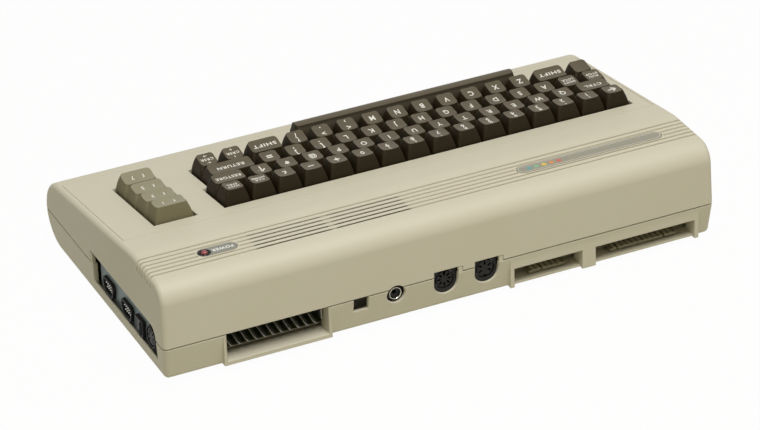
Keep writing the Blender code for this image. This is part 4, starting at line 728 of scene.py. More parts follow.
def groove_cutters():
    """Six rounded grooves across the strip, each turning down over both side edges."""
    top = CASE_HEIGHT - strip_fall(LAST_GROOVE_Y)
    side = HALF_WIDTH - SIDE_DRAFT
    stations = [(side, top - GROOVE_WRAP, 0)]
    for step in range(EDGE_STEPS + 1):
        turn = math.pi / 2 * step / EDGE_STEPS
        centre_x, centre_z = side - SIDE_EDGE_RADIUS, top - SIDE_EDGE_RADIUS
        stations.append((centre_x + SIDE_EDGE_RADIUS * math.cos(turn),
                         centre_z + SIDE_EDGE_RADIUS * math.sin(turn), turn))
    stations += [(-x, z, math.pi - turn) for x, z, turn in stations[::-1]]
    half = GROOVE_WIDTH / 2
    bed = half - FINE_LIP / 2
    profile = [(-bed, -GROOVE_DEPTH), (bed, -GROOVE_DEPTH), (half, -GROOVE_ROUND)]
    for angle in (24, 48, 70):
        turn = math.radians(angle)
        profile.append((half + GROOVE_ROUND * (1 - math.cos(turn)), -GROOVE_ROUND * (1 - math.sin(turn))))
    profile.append((profile[-1][0], OVERRUN / 2))
    profile += [(-across, out) for across, out in profile[:1:-1]]
    rings = []
    for x, z, turn in stations:
        rings.append([(x + out * math.cos(turn), LAST_GROOVE_Y + across, z + out * math.sin(turn))
                      for across, out in profile])
    form = bmesh.new()
    loft(form, rings)
    rise = strip_fall(LAST_GROOVE_Y) - strip_fall(LAST_GROOVE_Y - GROOVE_PITCH)
    return row_of(form, GROOVE_COUNT, (0, -GROOVE_PITCH, rise))


def vent_cutters():
    """The slots through the five rear grooves, in two groups."""
    groups = []
    for group in range(VENT_GROUPS):
        right = VENT_RIGHT - group * VENT_SPACING
        form = bmesh.new()
        place = Vector((right - VENT_LENGTH / 2, LAST_GROOVE_Y, CASE_HEIGHT - strip_fall(LAST_GROOVE_Y)))
        shape = stadium(VENT_LENGTH, VENT_WIDTH, 4)
        wide = spread(shape, VENT_UNDERCUT)
        rings = []
        for edge, height in ((wide, -2 * CASE_WALL), (wide, -2 * VENT_EDGE), (shape, -VENT_EDGE), (shape, OVERRUN)):
            rings.append([place + Vector((x, y, height)) for x, y in edge])
        loft(form, rings)
        groups.append(("DIFFERENCE", row_of(form, GROOVE_COUNT - 1, (0, -GROOVE_PITCH, 0))))
    return groups


def strip_steps():
    """Pads of the badge and the label, their recesses, and the lamp's hole."""
    pads, recesses, hole = bmesh.new(), bmesh.new(), bmesh.new()
    for centre, length in ((BADGE_CENTRE, BADGE_LENGTH), (LABEL_CENTRE, LABEL_LENGTH)):
        place = (centre, STRIP_MIDDLE, 0)
        pad = stadium(length + 2 * PAD_RIM, PLATE_WIDTH + 2 * PAD_RIM, ARC_STEPS)
        top = STRIP_HEIGHT
        rings = []
        for shrink, height in ((0, STRIP_HEIGHT - CASE_WALL + FIT_GAP), (0, top - FINE_LIP),
                               (FINE_LIP * 0.3, top - FINE_LIP * 0.3), (FINE_LIP, top)):
            rings.append([Vector(place) + Vector((x, y, height)) for x, y in spread(pad, -shrink)])
        loft(pads, rings)
        plate = stadium(length + 2 * FIT_GAP, PLATE_WIDTH + 2 * FIT_GAP, ARC_STEPS)
        lipped(recesses, plate, STRIP_HEIGHT - PLATE_RECESS, STRIP_HEIGHT, centre=place, lip=FINE_LIP)
    prism(hole, circle(BEZEL_TUBE + FIT_GAP, 32), STRIP_HEIGHT - 2 * CASE_WALL, STRIP_HEIGHT,
          centre=(LAMP_X, STRIP_MIDDLE, 0))
    return [("UNION", pads), ("DIFFERENCE", recesses), ("DIFFERENCE", hole)]


def opening_outline():
    """The stepped main key opening, on the panel."""
    edge = OPENING_MARGIN
    left = KEYS_LEFT - edge
    right = KEYS_LEFT + 16 * KEY_PITCH + edge
    shift = ROW_OFFSET_SHARES[2] * KEY_PITCH
    bar_left = KEYS_LEFT + ROW_OFFSET_SHARES[4] * KEY_PITCH - edge
    bar_right = bar_left + KEY_ROWS[4][0][1] * KEY_PITCH + 2 * edge
    jog_left = -2 * KEY_PITCH
    jog_right = -2 * KEY_PITCH - 2 * edge
    front = -4 * KEY_PITCH - 2 * edge
    bar_front = -5 * KEY_PITCH - 2 * edge
    return [
        (left, 0), (left, jog_left), (left + shift, jog_left), (left + shift, front),
        (bar_left, front), (bar_left, bar_front), (bar_right, bar_front), (bar_right, front),
        (right + shift, front), (right + shift, jog_right), (right, jog_right), (right, 0),
    ]


PANEL_LINE_SIDE = 4.9 * MM
PANEL_LINE_REAR = 11.6 * MM
PANEL_LINE_FRONT = 106.8 * MM
PANEL_LINE_WIDTH = 0.6 * MM
PANEL_LINE_DEPTH = 0.5 * MM


def panel_steps():
    """Cutters of the sloping panel: both key openings and the fine line round them."""
    front = -4 * KEY_PITCH - 2 * OPENING_MARGIN
    right = FUNCTION_LEFT + FUNCTION_WIDTH_SHARE * KEY_PITCH + OPENING_MARGIN
    steps = []
    for points in (opening_outline(), rectangle(FUNCTION_LEFT - OPENING_MARGIN, front, right, 0)):
        form = bmesh.new()
        lipped(form, points, -CASE_WALL - OVERRUN, 0, lip=LIP)
        form.transform(KEYBOARD_PLACE)
        steps.append(("DIFFERENCE", form))
    form = bmesh.new()
    half_x = HALF_WIDTH - PANEL_LINE_SIDE
    middle = (PANEL_LINE_REAR - PANEL_LINE_FRONT) / 2
    half_y = (PANEL_LINE_REAR + PANEL_LINE_FRONT) / 2
    rings = []
    for shrink, height in ((0, OVERRUN), (PANEL_LINE_WIDTH, OVERRUN), (PANEL_LINE_WIDTH, 0),
                           (PANEL_LINE_WIDTH * 0.7, -PANEL_LINE_DEPTH),
                           (PANEL_LINE_WIDTH * 0.3, -PANEL_LINE_DEPTH), (0, 0)):
        x, y = half_x - shrink, half_y - shrink
        rings.append([(px, py + middle, height) for px, py in rectangle(-x, -y, x, y)])
    loops = loft(form, rings, False, False)
    for index in range(4):
        after = (index + 1) % 4
        form.faces.new((loops[-1][index], loops[-1][after], loops[0][after], loops[0][index]))
    form.transform(KEYBOARD_PLACE)
    steps.append(("DIFFERENCE", form))
    return steps

# Holes and bays of the rear wall and of the right side
DIN_HOLE_RADIUS = 8.7 * MM
DIN_HOLE_TOP = 33.2 * MM
DIN_HEIGHT = 23.5 * MM
VIDEO_CENTRE = 0.4 * MM
SERIAL_CENTRE = -29.6 * MM
EAR_WIDTH = 3.2 * MM
JACK_CENTRE = 37.0 * MM
JACK_HEIGHT = 24.8 * MM
JACK_HOLE_RADIUS = 6.6 * MM
SELECTOR_LEFT = 57.2 * MM
SELECTOR_RIGHT = 67.7 * MM
SELECTOR_BOTTOM = 19.4 * MM
BAY_DEPTH = 13.0 * MM
BAY_FACE = HALF_DEPTH - 0.1 * MM
BAY_BOTTOM = 5.9 * MM
BAY_TOP = 20.0 * MM
BAY_FLOOR_TOP = 7.4 * MM
BAY_SILL = HALF_DEPTH - 3.8 * MM
BAY_ROOF = 2.8 * MM
BAY_RIM = 3.0 * MM
TAPE_BAY = (-101.0 * MM, -49.8 * MM)
USER_BAY = (-187.2 * MM, -111.2 * MM)
CARTRIDGE_BAY = (86.2 * MM, 158.5 * MM)
CARTRIDGE_RIM = 2.2 * MM
CARTRIDGE_FLOOR_TOP = 8.8 * MM
SIDE_OPENING_FRONT = -19.2 * MM
SIDE_OPENING_REAR = 94.0 * MM
SIDE_OPENING_BOTTOM = 15.4 * MM
SIDE_OPENING_TOP = 38.2 * MM
SIDE_OPENING_RADIUS = 9.5 * MM
SIDE_TAB_WIDTH = 2.4 * MM
SILL_LIP = 0.9 * MM
SILL_REBATE = 3.0 * MM
SIDE_TAB_HEIGHT = 7.8 * MM


def din_hole(centre):
    """Outline of a round hole with a flat top, in the rear wall."""
    points = []
    for step in range(2 * ARC_STEPS + 1):
        turn = math.pi + math.pi * step / (2 * ARC_STEPS)
        height = DIN_HEIGHT + DIN_HOLE_RADIUS * math.sin(turn)
        points.append((centre + DIN_HOLE_RADIUS * math.cos(turn), height))
    points.append((centre + DIN_HOLE_RADIUS, DIN_HOLE_TOP))
    points.append((centre - DIN_HOLE_RADIUS, DIN_HOLE_TOP))
    return points


def wall_y(height):
    """Where the leaning rear wall stands at a height."""
    if height > PARTING_HEIGHT:
        lean = REAR_TOP_INSET * (height - PARTING_HEIGHT) / (CASE_HEIGHT - STRIP_FALL - PARTING_HEIGHT)
        return HALF_DEPTH - lean
    return HALF_DEPTH - REAR_BOTTOM_INSET * (PARTING_HEIGHT - height) / (PARTING_HEIGHT - FOOT_HEIGHT)


def lean_to_wall(form):
    """Move the mouth of a rear cutter to the leaning wall, so that its lip follows it."""
    for vertex in form.verts:
        vertex.co.y += wall_y(vertex.co.z) - HALF_DEPTH


def rear_hole_steps(upper):
    """The holes for the round sockets, the jack and the channel selector."""
    inside = HALF_DEPTH - BAY_DEPTH
    form = bmesh.new()
    for centre in (VIDEO_CENTRE, SERIAL_CENTRE):
        lipped(form, din_hole(centre), inside, HALF_DEPTH, "y", lip=HOLE_LIP)
    lipped(form, circle(JACK_HOLE_RADIUS, 40, centre=(JACK_CENTRE, JACK_HEIGHT)), inside, HALF_DEPTH, "y",
           lip=HOLE_LIP)
    if not upper:
        shape = rectangle(SELECTOR_LEFT, SELECTOR_BOTTOM, SELECTOR_RIGHT, PARTING_HEIGHT + OVERRUN)
        lipped(form, shape, inside, HALF_DEPTH, "y")
    lean_to_wall(form)
    steps = [("DIFFERENCE", form)]
    if upper:
        ears = bmesh.new()
        for centre in (VIDEO_CENTRE, SERIAL_CENTRE):
            edge = centre - DIN_HOLE_RADIUS
            shape = rectangle(edge - EAR_WIDTH - FIT_GAP, PARTING_HEIGHT - OVERRUN, edge + FIT_GAP, DIN_HOLE_TOP)
            lipped(ears, shape, inside, HALF_DEPTH, "y", lip=FINE_LIP)
        lean_to_wall(ears)
        steps.append(("DIFFERENCE", ears))
    return steps


def upper_case():
    """Upper case: top, front, sides and rear down to the parting line."""
    level = PARTING_HEIGHT + SEAM_GAP / 2
    corner_height = CASE_HEIGHT - (CREST_Y + HALF_DEPTH) * math.tan(PANEL_SLOPE)
    corners = [
        Vector((-HALF_DEPTH, level)), Vector((-HALF_DEPTH, corner_height)), Vector((CREST_Y, CASE_HEIGHT)),
        Vector((STRIP_REAR, CASE_HEIGHT - STRIP_FALL)), Vector((HALF_DEPTH, level)),
    ]
    points = outline(corners, (FRONT_TOP_RADIUS, CREST_RADIUS, REAR_TOP_RADIUS))
    front = SIDE_OPENING_FRONT - SIDE_TAB_WIDTH - FIT_GAP
    low = PARTING_HEIGHT - OVERRUN
    arc = fillet(Vector((SIDE_OPENING_REAR, low)), Vector((SIDE_OPENING_REAR, SIDE_OPENING_TOP)),
                 Vector((front, SIDE_OPENING_TOP)), SIDE_OPENING_RADIUS, ARC_STEPS)
    side = bmesh.new()
    shape = [(front, low), (SIDE_OPENING_REAR, low)] + [(p.x, p.y) for p in arc] + [(front, SIDE_OPENING_TOP)]
    lipped(side, shape, HALF_WIDTH - CASE_WALL - OVERRUN, HALF_WIDTH - SIDE_DRAFT / 8, "x")
    steps = [("DIFFERENCE", hollow(points)), ("DIFFERENCE", groove_cutters())]
    steps += strip_steps() + vent_cutters() + panel_steps() + rear_hole_steps(True)
    steps.append(("DIFFERENCE", side))
    mesh = carve("upper_case_shell", case_half(points, CASE_HEIGHT), steps)
    add_piece("upper_case_shell", shade(mesh), [BEIGE_ABS], stands_for=["upper_case"], even=True)


def lower_case():
    """Lower case: floor, walls, bays and tabs."""
    level = PARTING_HEIGHT - SEAM_GAP / 2 - SEAM_STEP
    corners = [
        Vector((HALF_DEPTH, level)), Vector((HALF_DEPTH - REAR_BOTTOM_INSET, FOOT_HEIGHT)),
        Vector((-HALF_DEPTH, FOOT_HEIGHT)), Vector((-HALF_DEPTH, level)),
    ]
    points = outline(corners, (REAR_BOTTOM_RADIUS, FRONT_BOTTOM_RADIUS))
    front = HALF_DEPTH - BAY_DEPTH
    blocks, fascia, bays, sills, tabs, side = (bmesh.new() for _ in range(6))
    left, right = USER_BAY[0] - BAY_RIM, TAPE_BAY[1] + BAY_RIM
    box(blocks, (left, front, BAY_BOTTOM), (right, BAY_FACE, BAY_TOP + BAY_ROOF))
    box(blocks, (CARTRIDGE_BAY[0] - CARTRIDGE_RIM, front, BAY_BOTTOM),
        (CARTRIDGE_BAY[1] + CARTRIDGE_RIM, BAY_FACE, level))
    box(fascia, (left, HALF_DEPTH - CASE_WALL, BAY_TOP), (right, BAY_FACE, level))
    inside = front - OVERRUN
    for low, high in (TAPE_BAY, USER_BAY):
        lipped(bays, rectangle(low, BAY_FLOOR_TOP, high, BAY_TOP), inside, BAY_FACE, "y")
        box(sills, (low, BAY_SILL, FOOT_HEIGHT - OVERRUN), (high, HALF_DEPTH + OVERRUN, BAY_TOP - BAY_ROOF))
    shape = rectangle(CARTRIDGE_BAY[0], CARTRIDGE_FLOOR_TOP, CARTRIDGE_BAY[1], PARTING_HEIGHT + OVERRUN)
    lipped(bays, shape, inside, BAY_FACE, "y")
    lipped(side, rectangle(SIDE_OPENING_FRONT, SIDE_OPENING_BOTTOM, SIDE_OPENING_REAR, PARTING_HEIGHT + OVERRUN),
           HALF_WIDTH - CASE_WALL - OVERRUN, HALF_WIDTH - SIDE_DRAFT / 4, "x")
    rebate = bmesh.new()
    box(rebate, (HALF_WIDTH - CASE_WALL - OVERRUN, SIDE_OPENING_FRONT + FIT_GAP, SIDE_OPENING_BOTTOM - SILL_REBATE),
        (HALF_WIDTH - SIDE_DRAFT / 2 - SILL_LIP, SIDE_OPENING_REAR - FIT_GAP, SIDE_OPENING_BOTTOM + OVERRUN))
    outer = HALF_WIDTH - SIDE_DRAFT / 3
    low = level - CASE_WALL
    box(tabs, (outer - CASE_WALL + FIT_GAP, SIDE_OPENING_FRONT - SIDE_TAB_WIDTH, low),
        (outer, SIDE_OPENING_FRONT - FIT_GAP, PARTING_HEIGHT + SIDE_TAB_HEIGHT))
    for centre in (VIDEO_CENTRE, SERIAL_CENTRE):
        edge = centre - DIN_HOLE_RADIUS
        box(tabs, (edge - EAR_WIDTH, HALF_DEPTH - CASE_WALL + FIT_GAP, low),
            (edge - FIT_GAP, HALF_DEPTH - FIT_GAP, DIN_HOLE_TOP - FIT_GAP))
    wells = bmesh.new()
    for x, y in SCREW_PLACES:
        prism(wells, circle(SCREW_WELL, 32), FOOT_HEIGHT - OVERRUN, FOOT_HEIGHT + SCREW_WELL_DEPTH, centre=(x, y, 0))
    steps = [("DIFFERENCE", hollow(points)), ("UNION", blocks), ("UNION", fascia), ("DIFFERENCE", bays),
             ("DIFFERENCE", sills)] + rear_hole_steps(False)
    steps += [("DIFFERENCE", side), ("UNION", tabs), ("DIFFERENCE", rebate), ("DIFFERENCE", wells)]
    mesh = carve("lower_case_shell", case_half(points, FOOT_HEIGHT), steps)
    add_piece("lower_case_shell", shade(mesh), [BEIGE_ABS], stands_for=["lower_case"], even=True)


def cap_tree():
    """Geometry nodes that form a keycap from its sizes, by rules for its outline and its top."""
    tree = bpy.data.node_groups.new("keycap_by_rule", "GeometryNodeTree")
    sizes = ("half_width", "half_depth", "width_loss", "depth_loss", "skirt", "top_height", "tilt",
             "dish_across", "dish_along", "base_corner", "top_corner", "taper", "rim", "rear_shift")
    tree.interface.new_socket("Base", in_out="INPUT", socket_type="NodeSocketGeometry")
    for name in sizes:
        tree.interface.new_socket(name, in_out="INPUT", socket_type="NodeSocketFloat")
    tree.interface.new_socket("Finish", in_out="INPUT", socket_type="NodeSocketMaterial")
    tree.interface.new_socket("Cap", in_out="OUTPUT", socket_type="NodeSocketGeometry")
    given = add_node(tree, "NodeGroupInput").outputs
    grid = add_node(tree, "GeometryNodeMeshGrid",
                    {"Size X": 1, "Size Y": 1, "Vertices X": CAP_SIDES + 1, "Vertices Y": CAP_LEVELS})
    place = add_node(tree, "GeometryNodeInputPosition")
    parts = add_node(tree, "ShaderNodeSeparateXYZ", {0: place.outputs[0]})
    known = {name: given[name] for name in sizes}
    known.update(round=parts.outputs["X"], up=parts.outputs["Y"])
    rules = (
        ("turn", "MULTIPLY", "round", TAU),
        ("level", "ADD", "up", 0.5),
        ("rise", "DIVIDE", "level", WALL_SHARE),
        ("past_wall", "SUBTRACT", "level", WALL_SHARE),
        ("roll", "DIVIDE", "past_wall", RIM_SHARE),
        ("left_over", "SUBTRACT", 1.0, "level"),
        ("shrink", "DIVIDE", "left_over", 1 - WALL_SHARE - RIM_SHARE),
        ("lean", "POWER", "rise", "taper"),
        ("bend", "MULTIPLY", "roll", math.pi / 2),
        ("bend_cos", "COSINE", "bend"),
        ("bend_sin", "SINE", "bend"),
        ("rim_out", "SUBTRACT", 1.0, "bend_cos"),
        ("rim_down", "SUBTRACT", 1.0, "bend_sin"),
        ("inset", "MULTIPLY", "rim", "rim_out"),
        ("drop", "MULTIPLY", "rim", "rim_down"),
        ("rim_x", "SUBTRACT", "half_width", "width_loss"),
        ("rim_y", "SUBTRACT", "half_depth", "depth_loss"),
        ("lost_x", "MULTIPLY", "width_loss", "lean"),
        ("lost_y", "MULTIPLY", "depth_loss", "lean"),
        ("wall_x", "SUBTRACT", "half_width", "lost_x"),
        ("wall_y", "SUBTRACT", "half_depth", "lost_y"),
        ("half_x", "SUBTRACT", "wall_x", "inset"),
        ("half_y", "SUBTRACT", "wall_y", "inset"),
        ("small_half", "MINIMUM", "half_x", "half_y"),
        ("corner_gain", "SUBTRACT", "top_corner", "base_corner"),
        ("corner_part", "MULTIPLY", "corner_gain", "rise"),
        ("corner", "ADD", "base_corner", "corner_part"),
        ("cos", "COSINE", "turn"),
        ("sin", "SINE", "turn"),
        ("cos_size", "ABSOLUTE", "cos"),
        ("sin_size", "ABSOLUTE", "sin"),
        ("largest", "MAXIMUM", "cos_size", "sin_size"),
        ("square_x", "DIVIDE", "cos", "largest"),
        ("square_y", "DIVIDE", "sin", "largest"),
        ("side_x", "SIGN", "cos"),
        ("side_y", "SIGN", "sin"),
        ("spare_x", "SUBTRACT", "half_x", "small_half"),
        ("spare_y", "SUBTRACT", "half_y", "small_half"),
        ("shift_x", "MULTIPLY", "side_x", "spare_x"),
        ("shift_y", "MULTIPLY", "side_y", "spare_y"),
        ("near_x", "MULTIPLY", "square_x", "small_half"),
        ("near_y", "MULTIPLY", "square_y", "small_half"),
        ("inner_x", "SUBTRACT", "small_half", "corner"),
        ("inner_low", "MULTIPLY", "inner_x", -1.0),
        ("held_x_low", "MAXIMUM", "near_x", "inner_low"),
        ("held_x", "MINIMUM", "held_x_low", "inner_x"),
        ("held_y_low", "MAXIMUM", "near_y", "inner_low"),
        ("held_y", "MINIMUM", "held_y_low", "inner_x"),
        ("off_x", "SUBTRACT", "near_x", "held_x"),
        ("off_y", "SUBTRACT", "near_y", "held_y"),
        ("off_x_squared", "MULTIPLY", "off_x", "off_x"),
        ("off_y_squared", "MULTIPLY", "off_y", "off_y"),
        ("off_sum", "ADD", "off_x_squared", "off_y_squared"),
        ("off_length", "SQRT", "off_sum"),
        ("off_scale", "DIVIDE", "corner", "off_length"),
        ("arc_x", "MULTIPLY", "off_x", "off_scale"),
        ("arc_y", "MULTIPLY", "off_y", "off_scale"),
        ("edge_x", "ADD", "held_x", "arc_x"),
        ("edge_y", "ADD", "held_y", "arc_y"),
        ("drawn_x", "MULTIPLY", "edge_x", "shrink"),
        ("drawn_y", "MULTIPLY", "edge_y", "shrink"),
        ("x", "ADD", "drawn_x", "shift_x"),
        ("y", "ADD", "drawn_y", "shift_y"),
        ("part_x", "DIVIDE", "x", "rim_x"),
        ("part_y", "DIVIDE", "y", "rim_y"),
        ("square_part_x", "MULTIPLY", "part_x", "part_x"),
        ("square_part_y", "MULTIPLY", "part_y", "part_y"),
        ("hollow_x", "SUBTRACT", 1.0, "square_part_x"),
        ("hollow_y", "SUBTRACT", 1.0, "square_part_y"),
        ("kept_x", "MAXIMUM", "hollow_x", 0.0),
        ("kept_y", "MAXIMUM", "hollow_y", 0.0),
        ("dip_x", "MULTIPLY", "dish_across", "kept_x"),
        ("dip_y", "MULTIPLY", "dish_along", "kept_y"),
        ("tip", "MULTIPLY", "tilt", "y"),
        ("tipped", "ADD", "top_height", "tip"),
        ("dipped", "SUBTRACT", "tipped", "dip_x"),
        ("dished", "SUBTRACT", "dipped", "dip_y"),
        ("rounded_top", "SUBTRACT", "dished", "drop"),
        ("above_skirt", "ADD", "rounded_top", "skirt"),
        ("climb", "MULTIPLY", "above_skirt", "rise"),
        ("z", "SUBTRACT", "climb", "skirt"),
        ("moved_back", "MULTIPLY", "rear_shift", "lean"),
        ("set_y", "ADD", "y", "moved_back"),
    )
    for name, operation, *operands in rules:
        values = {index: known.get(operand, operand) for index, operand in enumerate(operands)}
        node = add_node(tree, "ShaderNodeMath", values, operation=operation)
        node.use_clamp = name in ("rise", "roll", "shrink")
        known[name] = node.outputs[0]
    point = add_node(tree, "ShaderNodeCombineXYZ", {"X": known["x"], "Y": known["set_y"], "Z": known["z"]})
    formed = add_node(tree, "GeometryNodeSetPosition",
                      {"Geometry": grid.outputs[0], "Position": point.outputs[0]})
    welded = add_node(tree, "GeometryNodeMergeByDistance",
                      {"Geometry": formed.outputs[0], "Distance": 0.01 * MM})
    real = add_node(tree, "GeometryNodeRealizeInstances", {"Geometry": welded.outputs[0]})
    finished = add_node(tree, "GeometryNodeSetMaterial",
                        {"Geometry": real.outputs[0], "Material": given["Finish"]})
    add_node(tree, "NodeGroupOutput", {"Cap": finished.outputs[0]})
    return tree


CAP_TREE = cap_tree()


def cap_sizes(width_share, top_height, tilt_angle, bar=False):
    """The sizes that the keycap's rules take."""
    wide = width_share > 1
    along = TROUGH if wide else DISH_ALONG
    width_loss = BAR_TOP_WIDTH_LOSS if bar else CAP_TOP_WIDTH_LOSS
    depth_loss = BAR_TOP_DEPTH_LOSS if bar else CAP_TOP_DEPTH_LOSS
    return {
        "half_width": (width_share * KEY_PITCH - KEY_GAP) / 2, "half_depth": (KEY_PITCH - KEY_GAP) / 2,
        "width_loss": width_loss / 2, "depth_loss": depth_loss / 2, "skirt": CAP_SKIRT,
        "top_height": top_height, "tilt": math.tan(math.radians(tilt_angle)),
        "dish_across": 0.0 if wide else DISH_ACROSS, "dish_along": -BAR_CROWN if bar else along,
        "base_corner": CAP_BASE_CORNER, "top_corner": CAP_TOP_CORNER, "taper": CAP_TAPER_POWER, "rim": CAP_RIM,
        "rear_shift": 0.0 if bar else CAP_TOP_SHIFT,
    }


def cap_top(sizes, x, y):
    """Height of a keycap's top at a place on it."""
    rim_x = sizes["half_width"] - sizes["width_loss"]
    rim_y = sizes["half_depth"] - sizes["depth_loss"]
    dip = sizes["dish_across"] * max(0, 1 - (x / rim_x) ** 2) + sizes["dish_along"] * max(0, 1 - (y / rim_y) ** 2)
    return sizes["top_height"] + sizes["tilt"] * y - dip


CAP_MESHES = {}


def cap_mesh(sizes, material):
    """The mesh of a keycap with its stem, made once for each kind."""
    key = (*sizes.values(), material.name)
    if key in CAP_MESHES:
        return CAP_MESHES[key]
    mesh = run_tree(CAP_TREE, bpy.data.meshes.new("cap"), {**sizes, "Finish": material})
    form = bmesh.new()
    form.from_mesh(mesh)
    open_edges = [edge for edge in form.edges if edge.is_boundary]
    bmesh.ops.contextual_create(form, geom=open_edges)
    prism(form, circle(STEM_RADIUS, 16), STEM_END, -CAP_SKIRT + FIT_GAP)
    for face in form.faces:
        face.material_index = 0
    bmesh.ops.recalc_face_normals(form, faces=form.faces)
    form.to_mesh(mesh)
    form.free()
    CAP_MESHES[key] = shade(mesh, 50)
    return mesh


def legend_lines(name):
    """What is printed on a key, as text, width, height and place across and along its top."""
    if name in WORDS:
        return [(text, width, height, 0, along) for text, width, height, along in WORDS[name]]
    if name in SHIFTED:
        return [(name, None, DIGIT_HEIGHT, 0, DIGIT_ALONG), (SHIFTED[name], None, SIGN_HEIGHT, 0, SIGN_ALONG)]
    if name in PAIRED:
        low, high = PAIRED[name]
        return [(low, None, PAIRED_HEIGHT, 0, DIGIT_ALONG), (high, None, PAIRED_HEIGHT, 0, SIGN_ALONG)]
    text = SIGNS.get(name, name.upper())
    return [(text, None, LONE_SIGN_HEIGHT if text in BIG_SIGNS else LETTER_HEIGHT, 0, 0)]


def text_form(text, width, height, weight=0.0):
    """Text as a thin solid about its own middle, fitted to a height and, if one is given, a width."""
    curve = bpy.data.curves.new("text", "FONT")
    curve.body = text
    curve.size = 1
    curve.extrude = 0.5
    curve.resolution_u = 3
    curve.offset = weight
    if width:
        curve.space_character = 1.15
    mesh = plain_copy(work_object("text", curve))
    xs = [v.co.x for v in mesh.vertices]
    ys = [v.co.y for v in mesh.vertices]
    scale_y = height / CAPITAL_HEIGHT_SHARE
    scale_x = width / (max(xs) - min(xs)) if width else scale_y * LETTER_SLIMNESS
    middle_x = (max(xs) + min(xs)) / 2
    middle_y = CAPITAL_HEIGHT_SHARE / 2 if text.isalnum() or text in ",.'\"" else (max(ys) + min(ys)) / 2
    form = bmesh.new()
    form.from_mesh(mesh)
    for vertex in form.verts:
        x, y, z = vertex.co
        vertex.co = ((x - middle_x) * scale_x, (y - middle_y) * scale_y, z)
    bmesh.ops.remove_doubles(form, verts=form.verts, dist=0.001 * MM)
    return form


def add_legend(form, sizes, lines, centre=(0, 0)):
    """Inlay the legend of a key into a form, following the dished top."""
    for text, width, height, across, along in lines:
        letters = text_form(text, width, height, LEGEND_WEIGHT)
        for vertex in letters.verts:
            x, y = vertex.co.x + across, vertex.co.y + along
            lift = LEGEND_PROUD if vertex.co.z > 0 else -LEGEND_SUNK
            vertex.co = (x + centre[0], y + centre[1] + sizes["rear_shift"], cap_top(sizes, x, y) + lift)
        mesh = to_mesh(letters, "letters")
        start = len(form.faces)
        form.from_mesh(mesh)
        form.faces.ensure_lookup_table()
        for face in form.faces[start:]:
            face.material_index = 1
            face.smooth = False


def key_form(sizes, lines, material, form, centre=(0, 0)):
    """Add one keycap with its legend to a form, in the keyboard's own frame."""
    start = len(form.verts)
    form.from_mesh(cap_mesh(sizes, material))
    form.verts.ensure_lookup_table()
    for vertex in form.verts[start:]:
        vertex.co += Vector((*centre, 0))
    add_legend(form, sizes, lines, centre)


def finish_keys(form, name, materials):
    """Place a form of keys in the case and give it back as a mesh."""
    form.transform(KEYBOARD_PLACE)
    mesh = bpy.data.meshes.new(name)
    for material in materials:
        mesh.materials.append(material)
    form.to_mesh(mesh)
    form.free()
    mesh.set_sharp_from_angle(angle=math.radians(50))
    return mesh


def keyboard():
    """Every keycap, and the frame that carries the keys of the lower rows."""
    fixed = bmesh.new()
    for row, keys in enumerate(KEY_ROWS):
        left = ROW_OFFSET_SHARES[row]
        for name, width in keys:
            centre = (KEYS_LEFT + (left + width / 2) * KEY_PITCH, -OPENING_MARGIN - (row + 0.5) * KEY_PITCH)
            left += width
            sizes = cap_sizes(width, ROW_TOP_HEIGHTS[row], ROW_TILT_ANGLES[row], name == "space")
            node = "key_" + name
            form = bmesh.new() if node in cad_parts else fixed
            key_form(sizes, legend_lines(name), DARK_ABS, form, centre)
            if form is not fixed:
                inks = [DARK_ABS, WHITE_ABS]
                add_piece(node + "_cap", finish_keys(form, node, inks), inks, node, [node])
    for row, digit in enumerate("1357"):
        centre = (FUNCTION_LEFT + FUNCTION_WIDTH_SHARE * KEY_PITCH / 2, -OPENING_MARGIN - (row + 0.5) * KEY_PITCH)
        sizes = cap_sizes(FUNCTION_WIDTH_SHARE, ROW_TOP_HEIGHTS[row], ROW_TILT_ANGLES[row])
        lines = [("f", None, FUNCTION_LETTER_HEIGHT, -FUNCTION_LETTER_ACROSS, 0),
                 (digit, None, FUNCTION_LETTER_HEIGHT, FUNCTION_LETTER_ACROSS, 0)]
        node = "key_f" + digit
        form = bmesh.new()
        key_form(sizes, lines, GREY_ABS, form, centre)
        inks = [GREY_ABS, WHITE_ABS]
        add_piece(node + "_cap", finish_keys(form, node, inks), inks, node, [node])
    left = KEYS_LEFT + ROW_OFFSET_SHARES[2] * KEY_PITCH - OPENING_MARGIN - FRAME_LAP
    right = FUNCTION_LEFT + FUNCTION_WIDTH_SHARE * KEY_PITCH + OPENING_MARGIN + FRAME_LAP
    front = -5 * KEY_PITCH - 2 * OPENING_MARGIN - FRAME_LAP
    outer = rectangle(left, front, right, FRAME_LAP)
    inner = spread(outer, -FRAME_RIM)
    rim = -CASE_WALL - FIT_GAP
    stations = ((outer, FRAME_TOP - FRAME_THICKNESS), (outer, rim), (inner, rim), (inner, FRAME_TOP))
    loft(fixed, [[(x, y, height) for x, y in points] for points, height in stations])
    inks = [DARK_ABS, WHITE_ABS]
    mesh = finish_keys(fixed, "keyboard_frame", inks)
    add_piece("keyboard_frame_caps", mesh, inks, stands_for=["keyboard_frame"])


